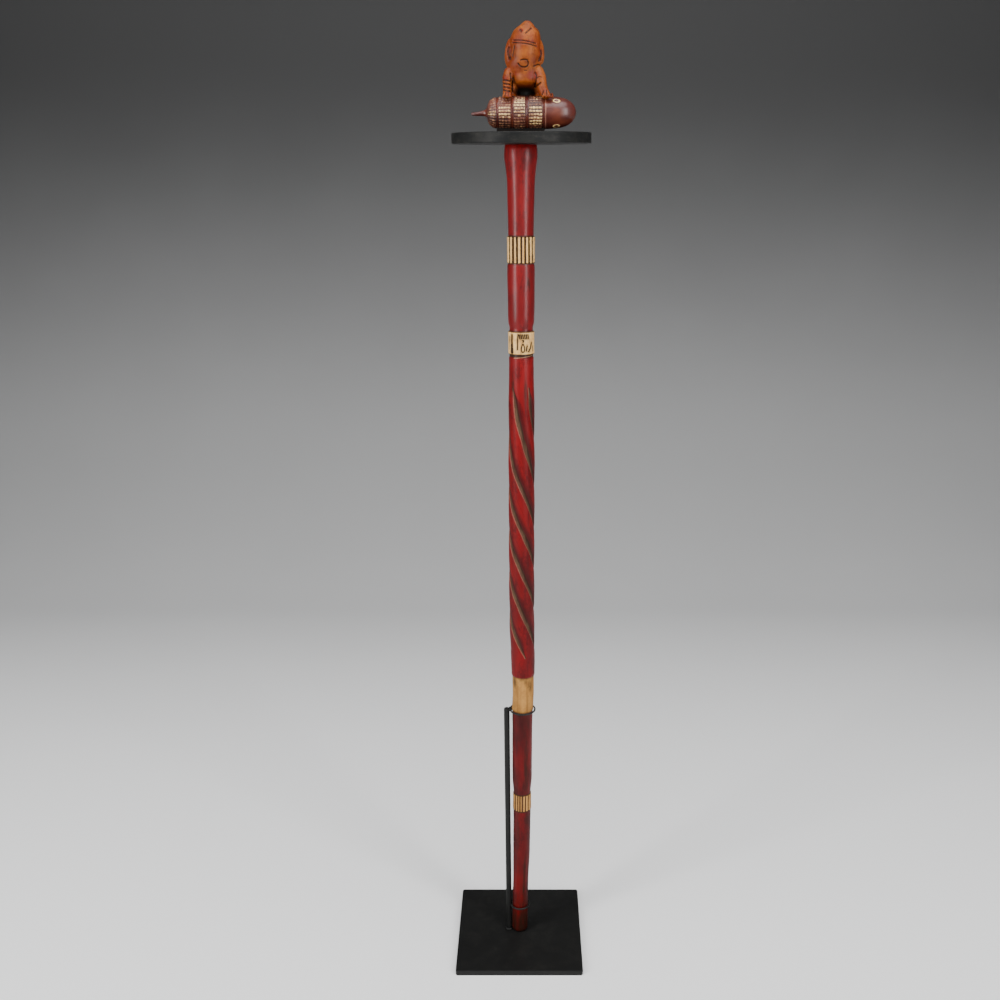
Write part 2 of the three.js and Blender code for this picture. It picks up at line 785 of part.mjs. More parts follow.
function makeFigure() {
  const leftForeleg = {
    shoulderX: -0.25, elbowX: -0.275, wristX: -0.278, toesX: -0.275, thickness: 0.07, cuts: 4, cutDepth: 0.013,
  };
  const rightForeleg = {
    shoulderX: 0.17, elbowX: 0.2, wristX: 0.245, toesX: 0.28, thickness: 0.086, cuts: 2, cutDepth: 0.012,
  };
  const added = [
    earRim(-0.245, 0.575, 0.18), earRim(0.205, 0.56, 0.15),
    foreleg(leftForeleg), foreleg(rightForeleg),
    hindleg(-0.16, -0.03), hindleg(0.15, 0.03),
    ...toes(-0.275, 0.046), ...toes(0.318, 0.056),
  ];
  const cuts = [
    earHollow(-0.24, 0.53), earHollow(0.212, 0.52),
    lineCut([[-0.045, -0.215, 0.45], [-0.02, -0.222, 0.457], [0.01, -0.222, 0.45]]),
    lineCut([
      [-0.002, -0.212, 0.435], [0.022, -0.205, 0.405], [0.01, -0.194, 0.365],
      [-0.03, -0.188, 0.358], [-0.08, -0.186, 0.385],
    ]),
    lineCut([[-0.06, -0.198, 0.845], [-0.04, -0.204, 0.83], [-0.01, -0.202, 0.835]]),
    lineCut([[0.03, -0.214, 0.8], [0.055, -0.21, 0.81], [0.075, -0.198, 0.835]]),
  ];
  let solid = figureTrunk();
  added.forEach((piece) => {
    solid = solid.add(piece);
  });
  cuts.forEach((cut) => {
    solid = solid.subtract(cut);
  });
  solid = solid.subtract(beastBody(contactGap, false));
  return finish('seated_figure', toGeometry(solid), '#b4692f', 0.45, 0);
}

const staff = new THREE.Group();
staff.add(makePlate());
staff.add(makeRod());
staff.add(makeWireRing('upper_ring', upperRingPlace));
staff.add(makeWireRing('lower_ring', lowerRingPlace));
staff.add(makeShaft());

const finial = new THREE.Group();
finial.position.set(bowAt(staffLength), 0, staffFootHeight + staffLength);
finial.rotation.copy(finialTilt);
finial.add(makeDisc());
finial.add(makeBeast());
finial.add(makeFigure());
staff.add(finial);

export default staff;
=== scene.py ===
import math
import random

import bpy
from mathutils import Matrix, Vector, kdtree, noise


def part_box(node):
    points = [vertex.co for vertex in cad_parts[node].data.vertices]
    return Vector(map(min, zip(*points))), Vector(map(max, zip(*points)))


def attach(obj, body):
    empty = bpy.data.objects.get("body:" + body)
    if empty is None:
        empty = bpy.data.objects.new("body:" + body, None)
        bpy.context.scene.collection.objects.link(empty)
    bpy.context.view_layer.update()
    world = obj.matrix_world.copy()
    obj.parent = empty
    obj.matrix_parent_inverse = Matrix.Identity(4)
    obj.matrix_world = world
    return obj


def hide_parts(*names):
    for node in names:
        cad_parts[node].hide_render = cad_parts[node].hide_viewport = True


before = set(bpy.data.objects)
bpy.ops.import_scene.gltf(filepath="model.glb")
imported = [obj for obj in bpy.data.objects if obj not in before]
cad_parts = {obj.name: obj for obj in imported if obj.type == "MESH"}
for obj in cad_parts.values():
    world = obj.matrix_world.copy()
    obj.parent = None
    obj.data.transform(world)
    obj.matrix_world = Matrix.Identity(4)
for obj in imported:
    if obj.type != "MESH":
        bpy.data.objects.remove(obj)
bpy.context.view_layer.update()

print("frame loaded")

mm = 0.001
fullTurn = 2 * math.pi


# Working in Blender

def deselectAll():
    if bpy.context.mode != "OBJECT":
        bpy.ops.object.mode_set(mode="OBJECT")
    bpy.ops.object.select_all(action="DESELECT")


def pickUp(piece):
    deselectAll()
    piece.select_set(True)
    bpy.context.view_layer.objects.active = piece


def editPiece(piece, selectMode="VERT"):
    pickUp(piece)
    bpy.ops.object.mode_set(mode="EDIT")
    bpy.ops.mesh.select_mode(type=selectMode)


def nameActive(name):
    piece = bpy.context.object
    piece.name = name
    piece.data.name = name
    return piece


def applyPlace(piece):
    pickUp(piece)
    bpy.ops.object.transform_apply(location=True, rotation=True, scale=True)


def useModifier(piece, kind, **settings):
    pickUp(piece)
    modifier = piece.modifiers.new(kind.lower(), kind)
    for label, value in settings.items():
        setattr(modifier, label, value)
    bpy.ops.object.modifier_apply(modifier=modifier.name)


def joinPieces(pieces, name):
    deselectAll()
    for piece in pieces:
        piece.select_set(True)
    bpy.context.view_layer.objects.active = pieces[0]
    bpy.ops.object.join()
    return nameActive(name)


def faceOutwards(piece, mergeBelow=0.01 * mm):
    editPiece(piece)
    bpy.ops.mesh.select_all(action="SELECT")
    bpy.ops.mesh.remove_doubles(threshold=mergeBelow)
    bpy.ops.mesh.normals_make_consistent(inside=False)
    bpy.ops.object.mode_set(mode="OBJECT")


def smoothPiece(piece, degrees=35):
    pickUp(piece)
    bpy.ops.object.shade_smooth_by_angle(angle=math.radians(degrees))


def finishPiece(piece, material, node):
    piece.data.materials.clear()
    piece.data.materials.append(material)
    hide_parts(node)
    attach(piece, "root")
    print("finished", piece.name, len(piece.data.polygons), "faces")


# Smooth curve through pairs of place and value, as the carved profiles use
def slopeAt(pairs, index):
    if index in (0, len(pairs) - 1):
        return 0
    before = (pairs[index][1] - pairs[index - 1][1]) / (pairs[index][0] - pairs[index - 1][0])
    after = (pairs[index + 1][1] - pairs[index][1]) / (pairs[index + 1][0] - pairs[index][0])
    return 0 if before * after <= 0 else 2 * before * after / (before + after)


def smoothValue(pairs, place):
    if place <= pairs[0][0]:
        return pairs[0][1]
    if place >= pairs[-1][0]:
        return pairs[-1][1]
    left = max(index for index, pair in enumerate(pairs) if pair[0] <= place)
    span = pairs[left + 1][0] - pairs[left][0]
    share = (place - pairs[left][0]) / span
    square, cube = share ** 2, share ** 3
    return (
        (2 * cube - 3 * square + 1) * pairs[left][1]
        + (cube - 2 * square + share) * span * slopeAt(pairs, left)
        + (3 * square - 2 * cube) * pairs[left + 1][1]
        + (cube - square) * span * slopeAt(pairs, left + 1)
    )


def smoothStep(start, end, value):
    share = min(max((value - start) / (end - start), 0), 1)
    return share * share * (3 - 2 * share)


# A half outline drawn vertex by vertex from pairs of distance along Z and radius, then spun round Z
def spinOutline(name, outline, steps):
    deselectAll()
    bpy.ops.mesh.primitive_circle_add(vertices=3, radius=1, location=(0, 0, 0))
    piece = nameActive(name)
    editPiece(piece)
    bpy.ops.mesh.select_all(action="SELECT")
    bpy.ops.mesh.merge(type="CENTER")
    first = outline[0]
    bpy.ops.transform.translate(value=(first[1], 0, first[0]))
    for before, after in zip(outline, outline[1:]):
        step = (after[1] - before[1], 0, after[0] - before[0])
        bpy.ops.mesh.extrude_region_move(TRANSFORM_OT_translate={"value": step})
    bpy.ops.mesh.select_all(action="SELECT")
    bpy.ops.mesh.spin(steps=steps, angle=fullTurn, center=(0, 0, 0), axis=(0, 0, 1))
    bpy.ops.object.mode_set(mode="OBJECT")
    faceOutwards(piece)
    return piece


def steppedPlaces(spans):
    places = [spans[0][0]]
    for start, end, step in spans:
        count = max(1, round((end - start) / step))
        places += [start + (end - start) * (index + 1) / count for index in range(count)]
    return places


def storeField(piece, name, values):
    attribute = piece.data.attributes.new(name, "FLOAT", "POINT")
    attribute.data.foreach_set("value", values)


# Shader nodes

def screenColor(red, green, blue):
    def channel(value):
        share = value / 255
        return share / 12.92 if share <= 0.04045 else ((share + 0.055) / 1.055) ** 2.4
    return (channel(red), channel(green), channel(blue), 1)


def feed(tree, socket, value):
    if isinstance(value, bpy.types.NodeSocket):
        tree.links.new(value, socket)
    elif value is not None:
        socket.default_value = value


def addNode(tree, kind, settings=None, **values):
    node = tree.nodes.new(kind)
    for label, value in (settings or {}).items():
        setattr(node, label, value)
    for label, value in values.items():
        feed(tree, node.inputs[label.replace("_", " ")], value)
    return node


def mathOf(tree, operation, first, second=None, third=None):
    node = tree.nodes.new("ShaderNodeMath")
    node.operation = operation
    node.use_clamp = operation in ("ADD", "MULTIPLY_ADD") and third == "clamp"
    feed(tree, node.inputs[0], first)
    feed(tree, node.inputs[1], second)
    if third != "clamp":
        feed(tree, node.inputs[2], third)
    return node.outputs[0]


def rangeOf(tree, value, fromLow, fromHigh, toLow=0.0, toHigh=1.0, smooth=True):
    node = tree.nodes.new("ShaderNodeMapRange")
    node.interpolation_type = "SMOOTHSTEP" if smooth else "LINEAR"
    for socket, given in zip(node.inputs, (value, fromLow, fromHigh, toLow, toHigh)):
        feed(tree, socket, given)
    return node.outputs[0]


def mixOf(tree, mask, first, second, blend="MIX"):
    node = tree.nodes.new("ShaderNodeMix")
    node.data_type = "RGBA"
    node.blend_type = blend
    feed(tree, node.inputs[0], mask)
    feed(tree, node.inputs[6], first)
    feed(tree, node.inputs[7], second)
    return node.outputs[2]


def objectPlace(tree, scale=(1, 1, 1)):
    place = addNode(tree, "ShaderNodeTexCoord").outputs["Object"]
    mapping = addNode(tree, "ShaderNodeMapping", Vector=place, Scale=scale)
    return mapping.outputs[0]


def noiseOf(tree, place, scale, detail=3.0, roughness=0.55, distortion=0.0):
    node = addNode(
        tree, "ShaderNodeTexNoise", Vector=place, Scale=scale, Detail=detail,
        Roughness=roughness, Distortion=distortion,
    )
    return node.outputs[0]


def fieldOf(tree, name):
    return addNode(tree, "ShaderNodeAttribute", {"attribute_name": name}).outputs["Fac"]


def newGroup(name, inputs, outputs):
    group = bpy.data.node_groups.new(name, "ShaderNodeTree")
    for label, value in inputs:
        kind = "NodeSocketVector" if isinstance(value, tuple) else "NodeSocketFloat"
        group.interface.new_socket(label, in_out="INPUT", socket_type=kind).default_value = value
    for label in outputs:
        group.interface.new_socket(label, in_out="OUTPUT", socket_type="NodeSocketFloat")
    enter = group.nodes.new("NodeGroupInput")
    leave = group.nodes.new("NodeGroupOutput")
    return group, enter.outputs, leave.inputs


# Hand-painted edge: a field in mm, above 0 inside the paint, whose edge wobbles
def makePaintEdge():
    inputs = [("Field", 0.0), ("Wobble", 1.0), ("Softness", 0.3), ("Scale", 200.0)]
    group, enter, leave = newGroup("paintEdge", inputs, ["Mask"])
    waver = noiseOf(group, objectPlace(group), enter["Scale"], 4.0, 0.6)
    centred = mathOf(group, "SUBTRACT", waver, 0.5)
    moved = mathOf(group, "MULTIPLY_ADD", centred, enter["Wobble"], enter["Field"])
    low = mathOf(group, "MULTIPLY", enter["Softness"], -1.0)
    feed(group, leave["Mask"], rangeOf(group, moved, low, enter["Softness"]))
    return group


# Wood grain that runs along one axis
def makeWoodGrain():
    inputs = [("Stretch", (1.0, 1.0, 0.08)), ("Scale", 220.0), ("Contrast", 1.0)]
    group, enter, leave = newGroup("woodGrain", inputs, ["Streak", "Fibre"])
    place = addNode(group, "ShaderNodeTexCoord").outputs["Object"]
    stretched = addNode(group, "ShaderNodeVectorMath", {"operation": "MULTIPLY"})
    feed(group, stretched.inputs[0], place)
    feed(group, stretched.inputs[1], enter["Stretch"])
    broad = noiseOf(group, stretched.outputs[0], enter["Scale"], 4.0, 0.6, 0.4)
    fineScale = mathOf(group, "MULTIPLY", enter["Scale"], 5.0)
    fine = noiseOf(group, stretched.outputs[0], fineScale, 3.0, 0.7)
    centred = mathOf(group, "SUBTRACT", broad, 0.5)
    feed(group, leave["Streak"], mathOf(group, "MULTIPLY_ADD", centred, enter["Contrast"], 0.5))
    feed(group, leave["Fibre"], fine)
    return group


# Patches of dirt or rubbed paint, from broad clouds broken up by fine ones
def makeWornPatches():
    inputs = [("Stretch", (1.0, 1.0, 1.0)), ("Scale", 40.0), ("Amount", 0.5), ("Softness", 0.08)]
    group, enter, leave = newGroup("wornPatches", inputs, ["Mask"])
    place = addNode(group, "ShaderNodeTexCoord").outputs["Object"]
    stretched = addNode(group, "ShaderNodeVectorMath", {"operation": "MULTIPLY"})
    feed(group, stretched.inputs[0], place)
    feed(group, stretched.inputs[1], enter["Stretch"])
    broad = noiseOf(group, stretched.outputs[0], enter["Scale"], 2.0, 0.5)
    fineScale = mathOf(group, "MULTIPLY", enter["Scale"], 7.0)
    fine = noiseOf(group, stretched.outputs[0], fineScale, 5.0, 0.65)
    both = mathOf(group, "MULTIPLY_ADD", fine, 0.45, mathOf(group, "MULTIPLY", broad, 0.55))
    edge = mathOf(group, "MULTIPLY_ADD", enter["Amount"], -0.4, 0.7)
    low = mathOf(group, "SUBTRACT", edge, enter["Softness"])
    high = mathOf(group, "ADD", edge, enter["Softness"])
    feed(group, leave["Mask"], rangeOf(group, both, low, high))
    return group


paintEdge = makePaintEdge()
woodGrain = makeWoodGrain()
wornPatches = makeWornPatches()


def useGroup(tree, group, **values):
    return addNode(tree, "ShaderNodeGroup", {"node_tree": group}, **values).outputs


def edgeMask(tree, field, wobble=1.0, softness=0.3, scale=200.0):
    return useGroup(tree, paintEdge, Field=field, Wobble=wobble, Softness=softness, Scale=scale)["Mask"]


def patchMask(tree, scale, amount, softness=0.08, stretch=(1.0, 1.0, 1.0)):
    values = {"Scale": scale, "Amount": amount, "Softness": softness, "Stretch": stretch}
    return useGroup(tree, wornPatches, **values)["Mask"]


def newMaterial(name):
    material = bpy.data.materials.new(name)
    material.use_nodes = True
    tree = material.node_tree
    return material, tree, tree.nodes["Principled BSDF"].inputs


def bumpFrom(tree, shader, height, strength, distance):
    bump = addNode(tree, "ShaderNodeBump", Height=height, Strength=strength, Distance=distance)
    feed(tree, shader["Normal"], bump.outputs[0])


# Camera, at the photograph's height, pitch and framing

cameraLook = {"lens": 37.55, "sensor": 36, "pitch": 16.45, "shift": -0.0274}
cameraPlace = {"side": 0.0137, "back": 1.576, "abovePlate": 1.265}


def makeCamera():
    deselectAll()
    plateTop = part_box("base_plate")[1].z
    place = (cameraPlace["side"], -cameraPlace["back"], plateTop + cameraPlace["abovePlate"])
    turned = (math.radians(90 - cameraLook["pitch"]), 0, 0)
    bpy.ops.object.camera_add(location=place, rotation=turned)
    camera = bpy.context.object
    camera.name = "studioCamera"
    camera.data.sensor_width = cameraLook["sensor"]
    camera.data.lens = cameraLook["lens"]
    camera.data.shift_x = cameraLook["shift"]
    bpy.context.scene.camera = camera


# Stand: plate, rod with its weld, and the two wire rings

standLook = {
    "black": (17, 17, 17),
    "blackCloud": (26, 26, 25),
    "worn": (36, 35, 33),
    "specular": 0.16,
    "wireSpecular": 0.22,
    "cornerRadius": 4 * mm,
    "edgeBevel": 0.8 * mm,
    "rodRadius": 4.75 * mm,
    "rodRounding": 1.5 * mm,
    "weldRadius": 6.8 * mm,
    "weldBead": 1.7 * mm,
    "upperWire": 1.4 * mm,
    "lowerWire": 1.35 * mm,
    "solder": {
        "upper_ring": (3.4 * mm, 6.0 * mm, 3.3 * mm),
        "lower_ring": (2.2 * mm, 3.6 * mm, 1.8 * mm),
    },
}


def makeStandMaterial(name, specular):
    material, tree, shader = newMaterial(name)
    scuffs = patchMask(tree, 55.0, 0.32, 0.1)
    cloud = noiseOf(tree, objectPlace(tree), 14.0, 4.0)
    black = mixOf(tree, cloud, screenColor(*standLook["black"]), screenColor(*standLook["blackCloud"]))
    worn = mixOf(tree, mathOf(tree, "MULTIPLY", scuffs, 0.35), black, screenColor(*standLook["worn"]))
    feed(tree, shader["Base Color"], worn)
    rough = rangeOf(tree, noiseOf(tree, objectPlace(tree), 90.0, 5.0), 0.3, 0.7, 0.36, 0.52, False)
    feed(tree, shader["Roughness"], rough)
    shader["Specular IOR Level"].default_value = specular
    grain = noiseOf(tree, objectPlace(tree), 900.0, 3.0)
    bumpFrom(tree, shader, grain, 0.25, 0.2 * mm)
    return material


def makePlate(material):
    low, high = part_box("base_plate")
    size = high - low
    deselectAll()
    bpy.ops.mesh.primitive_cube_add(size=1, location=(low + high) / 2, scale=size)
    plate = nameActive("plate_steel")
    applyPlace(plate)
    editPiece(plate, "EDGE")
    bpy.ops.mesh.select_all(action="DESELECT")
    bpy.ops.object.mode_set(mode="OBJECT")
    for edge in plate.data.edges:
        ends = [plate.data.vertices[index].co for index in edge.vertices]
        edge.select = abs(ends[0].z - ends[1].z) > size.z / 2
    bpy.ops.object.mode_set(mode="EDIT")
    bpy.ops.mesh.bevel(offset=standLook["cornerRadius"], segments=10, affect="EDGES")
    bpy.ops.object.mode_set(mode="OBJECT")
    useModifier(
        plate, "BEVEL", width=standLook["edgeBevel"], segments=4, limit_method="ANGLE",
        angle_limit=math.radians(60),
    )
    smoothPiece(plate, 40)
    finishPiece(plate, material, "base_plate")


def ringPlan(node, wire):
    low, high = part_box(node)
    radius = (high.y - low.y) / 2 - wire
    centre = Vector((high.x - wire - radius, (low.y + high.y) / 2, (low.z + high.z) / 2))
    return centre, radius


# A lumpy weld bead: a torus whose skin is shaken a little
def makeBead(name, place, radius, bead, seed, turned=(0, 0, 0)):
    deselectAll()
    bpy.ops.mesh.primitive_torus_add(
        location=place, rotation=turned, major_radius=radius, minor_radius=bead,
        major_segments=56, minor_segments=14,
    )
    piece = nameActive(name)
    applyPlace(piece)
    for vertex in piece.data.vertices:
        spot = vertex.co * 420 + Vector((seed, 0, 0))
        vertex.co += (vertex.co - Vector(place)).normalized() * noise.noise(spot) * bead * 0.35
    return piece


def makeRod(material):
    low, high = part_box("support_rod")
    radius = standLook["rodRadius"]
    top = Vector((low.x + radius, 0, high.z))
    foot = Vector((high.x - standLook["weldRadius"], 0, low.z))
    length = (top - foot).length
    deselectAll()
    bpy.ops.mesh.primitive_cylinder_add(
        vertices=56, radius=radius, depth=length, location=(top + foot) / 2,
        rotation=(0, math.atan2(top.x - foot.x, top.z - foot.z), 0),
    )
    rod = nameActive("rod_steel")
    editPiece(rod, "FACE")
    bpy.ops.mesh.select_all(action="DESELECT")
    bpy.ops.object.mode_set(mode="OBJECT")
    for face in rod.data.polygons:
        face.select = face.normal.z > 0.9
    bpy.ops.object.mode_set(mode="EDIT")
    bpy.ops.mesh.bevel(offset=standLook["rodRounding"], segments=6, affect="EDGES")
    bpy.ops.object.mode_set(mode="OBJECT")
    applyPlace(rod)
    beadPlace = (foot.x, 0, foot.z + standLook["weldBead"] * 0.75)
    beadRadius = standLook["weldRadius"] - standLook["weldBead"]
    bead = makeBead("rodWeld", beadPlace, beadRadius, standLook["weldBead"], 3)
    rod = joinPieces([rod, bead], "rod_steel")
    smoothPiece(rod, 40)
    finishPiece(rod, material, "support_rod")


def makeRing(name, node, wire, material):
    centre, radius = ringPlan(node, wire)
    deselectAll()
    bpy.ops.mesh.primitive_torus_add(
        location=centre, major_radius=radius, minor_radius=wire,
        major_segments=120, minor_segments=20,
    )
    ring = nameActive(name)
    applyPlace(ring)
    # Solder where the wire meets the rod
    rodSide = centre - Vector((radius, 0, 0))
    bpy.ops.mesh.primitive_uv_sphere_add(
        segments=28, ring_count=16, radius=1, location=rodSide,
        scale=standLook["solder"][node],
    )
    blob = nameActive("ringSolder")
    applyPlace(blob)
    for vertex in blob.data.vertices:
        vertex.co += (vertex.co - rodSide).normalized() * noise.noise(vertex.co * 500) * wire * 0.25
    ring = joinPieces([ring, blob], name)
    smoothPiece(ring, 60)
    finishPiece(ring, material, node)


# Staff shaft. Lengths in mm from its foot up, angles from the front towards +X

shaft = {
    "around": 144,
    "lowerBand": (246.5, 277.5),
    "bare": (434.5, 499.0),
    "twist": (499.0, 1025.0),
    "middleBand": (1031.0, 1064.5),
    "upperBand": (1164.5, 1202.5),
    "length": 1330.0,
    "bow": 5.0,
    "upperFlutes": 20,
    "upperFluteDepth": 1.7,
    "upperFluteWidth": 4.0,
    "lowerFlutes": 18,
    "lowerFluteDepth": 1.3,
    "lowerFluteWidth": 3.7,
    "grooveDepth": 2.5,
    "grooveHalfWidth": 4.4,
    "degreesPerMm": 1.3,
    "degreesPerMmAtTop": 0.3,
    "easeLength": 155.0,
    "frontLevel": 410.0,
    "plainBelow": 34.0,
    "plainAbove": 42.0,
    "fade": 36.0,
    "earlyGroove": 1,
    "markDepth": 0.55,
    # Dark stains as angle, level, half width, half height and strength; the two rings all round the foot are
    # painted shade
    "darkStainsAndFootShade": [
        (34, 1135, 12, 11, 1.0), (-30, 1100, 10, 26, 0.35), (24, 108, 12, 60, 0.95), (22, 344, 14, 58, 0.8),
        (-25, 200, 12, 40, 0.5), (38, 484, 15, 12, 0.9), (-52, 489, 16, 11, 0.8), (-5, 496, 20, 3, 0.6),
        (12, 492, 9, 7, 0.6), (-42, 985, 10, 20, 0.8), (20, 978, 9, 24, 0.7), (28, 228, 30, 12, 0.5),
        (0, 20, 190, 32, 0.9), (0, 55, 190, 30, 0.35), (-14, 1255, 9, 40, 0.3), (150, 700, 60, 90, 0.4),
        (-140, 300, 40, 90, 0.5), (180, 1110, 50, 30, 0.4), (-100, 480, 30, 14, 0.7),
        (120, 470, 25, 14, 0.6),
    ],
}

shaftOutline = [
    (0, 0), (0, 5.5), (0.9, 9.2), (2.1, 12.2), (4.2, 13.2), (7, 13.6), (91.2, 13.2), (160.2, 14.46),
    (245.9, 15.0), (246.5, 15.1), (247.5, 15.6), (276.6, 15.6), (277.5, 14.6), (280, 14.5),
    (290.1, 15.3), (307.3, 16.55), (434.0, 16.8), (435.7, 17.7), (498.2, 17.7), (499.2, 18.5),
    (501.6, 19.0), (562.1, 19.9), (762.0, 20.2), (961.9, 19.6), (1001.3, 18.7), (1024.6, 18.7),
    (1026.2, 17.9), (1030.4, 17.9), (1031.2, 19.6), (1064.0, 19.6), (1065.0, 17.6), (1069.0, 17.6),
    (1078.5, 19.4), (1114.7, 19.9), (1155.0, 20.3), (1161.0, 20.0), (1164.0, 19.35), (1165.2, 20.4),
    (1201.6, 20.4), (1203.0, 18.5), (1230.5, 19.15), (1279.0, 20.2), (1299.4, 22.2), (1313.4, 24.0),
    (1323.6, 23.65), (1329.2, 22.9), (1330.0, 22.2), (1330.0, 0),
]

shaftSpans = [
    (9, 243, 9), (243, 249, 0.7), (249, 275, 6.5), (275, 281, 0.7), (281, 431, 7.5), (431, 438, 0.7),
    (438, 496, 5), (496, 504, 0.7), (504, 528, 3), (528, 990, 2.3), (990, 1022, 3.5), (1022, 1034, 0.6),
    (1034, 1062, 1.3), (1062, 1070, 0.6), (1070, 1160, 6), (1160, 1168, 0.6), (1168, 1199, 6.2),
    (1199, 1206, 0.6), (1206, 1322, 5.5),
]

bowShares = [
    (0, 0.06), (0.13, 0.73), (0.19, 0.9), (0.32, 1.07), (0.357, 1.37), (0.4, 1.23), (0.45, 0.96),
    (0.56, 0.9), (0.68, 0.94), (0.8, 0.88), (1, 0.84),
]


def bowAt(level):
    return shaft["bow"] * smoothValue(bowShares, level / shaft["length"])


# How far the spiral has turned from the front at a level above the lip
def twistTurn(above):
    easeStart = shaft["twist"][1] - shaft["twist"][0] - shaft["plainAbove"] - shaft["easeLength"]

    def turned(level):
        if level <= easeStart:
            return -(easeStart - level) * shaft["degreesPerMm"]
        past = min(level - easeStart, shaft["easeLength"])
        loss = (shaft["degreesPerMm"] - shaft["degreesPerMmAtTop"]) / shaft["easeLength"]
        return past * shaft["degreesPerMm"] - loss * past * past / 2

    return turned(shaft["frontLevel"]) - turned(above)


# Uneven hand-cut flutes: middle and half width of each groove, in degrees
def handCutFlutes(count, halfWidth, seed):
    dice = random.Random(seed)
    widths = [1 + dice.uniform(-0.24, 0.24) for flute in range(count)]
    total = sum(widths)
    flutes = []
    angle = dice.uniform(0, 10)
    for width in widths:
        flutes.append((angle % 360, halfWidth * dice.uniform(0.75, 1.25), dice.uniform(-0.9, 0.9)))
        angle += 360 * width / total
    return flutes


# Strokes on the middle band: angle in degrees and height in mm above its foot, then half width in mm
def middleBandStrokes():
    teardrop = [
        (8 + 9.5 * math.sin(t) * math.sin(t / 2) ** 0.8, 16.4 - 12.6 * (1 - math.cos(t)) / 2)
        for t in [fullTurn * step / 24 for step in range(25)]
    ]
    strokes = [
        ([(-45, 29), (-46, 20), (-44, 12)], 1.5), ([(-46, 14), (-45, 3.5)], 2.5),
        ([(-14, 30), (-16, 22), (-17, 8)], 0.9), (teardrop, 0.75), ([(6, 21.5), (11, 21.5), (8.6, 19)], 0.9),
        ([(52, 17), (46, 10), (36, 5)], 1.2), ([(62, 12), (64, 5)], 0.6), ([(-62, 26), (-61, 8)], 0.5),
        ([(27, 13), (24, 6)], 0.95), ([(-8, 24), (30, 23.5)], 0.5),
    ]
    for step in range(6):
        strokes.append(([(-9 + 8 * step, 29.8), (-6 + 8 * step, 24.2)], 0.95))
        strokes.append(([(100 + 30 * step, 26), (106 + 30 * step, 9)], 0.6))
    return strokes


def strokeSamples(radius):
    samples = []
    for points, halfWidth in middleBandStrokes():
        for (fromTurn, fromUp), (toTurn, toUp) in zip(points, points[1:]):
            count = 14
            for step in range(count + 1):
                share = step / count
                across = math.radians(fromTurn + (toTurn - fromTurn) * share) * radius
                up = shaft["middleBand"][0] + fromUp + (toUp - fromUp) * share
                samples.append((Vector((across, up, 0)), halfWidth))
    return samples


def angleGap(first, second):
    return abs((first - second + 180) % 360 - 180)


def readPlace(co):
    return math.degrees(math.atan2(co.x, -co.y)), co.z


def fluteDepth(turned, level, band, flutes, radius):
    inside = min(level - band[0], band[1] - level)
    if inside < -3:
        return -20.0, 0.0
    nearest = -20.0
    for middle, halfWidth, drift in flutes:
        along = (level - band[0]) / (band[1] - band[0]) - 0.5
        gap = angleGap(turned, middle + drift * along)
        nearest = max(nearest, math.radians(halfWidth - gap) * radius)
    cut = smoothStep(-1.5, 0.9, nearest) * smoothStep(0.2, 1.5, inside)
    return min(nearest, inside + 0.6), cut


def twistCut(turned, level):
    above = level - shaft["twist"][0]
    carvedTo = shaft["twist"][1] - shaft["twist"][0] - shaft["plainAbove"]
    fadeIn = smoothStep(shaft["plainBelow"], shaft["plainBelow"] + shaft["fade"], above)
    fadeOut = 1 - smoothStep(carvedTo - shaft["fade"], carvedTo, above)
    shown = fadeIn * fadeOut
    if shown <= 0:
        return -20.0, 0.0, 30.0
    slope = math.radians(shaft["degreesPerMm"]) * 20
    slant = 1 / math.sqrt(1 + slope * slope)
    quarter = (turned - twistTurn(above) + 45) % 90 - 45
    groove = round((turned - twistTurn(above)) / 90) % 4
    wander = noise.noise(Vector((groove * 7.0, level / 38, 0))) * 2.2
    # The last groove to start lies nearer to the one on its left
    if groove == shaft["earlyGroove"]:
        wander += 15 * smoothStep(350, 440, above)
    across = math.radians(quarter + wander) * 20 * slant
    distance = abs(across)
    wide = shaft["grooveHalfWidth"] * (0.9 + 0.25 * noise.noise(Vector((groove * 3.0, level / 24, 5))))
    field = wide * (0.2 + 0.6 * shown) - distance
    bottom = 1 - smoothStep(wide * 0.25, wide * 1.25, distance)
    swell = smoothStep(wide, 13.5, distance) * 0.16
    return field, (swell - bottom) * shown, across / shown


def stainAndShadeAt(turned, level):
    darkest = 0.0
    for middle, height, halfWidth, halfHeight, strength in shaft["darkStainsAndFootShade"]:
        away = math.hypot(angleGap(turned, middle) / halfWidth, (level - height) / halfHeight)
        darkest = max(darkest, strength * (1 - smoothStep(0.35, 1.25, away)))
    return darkest


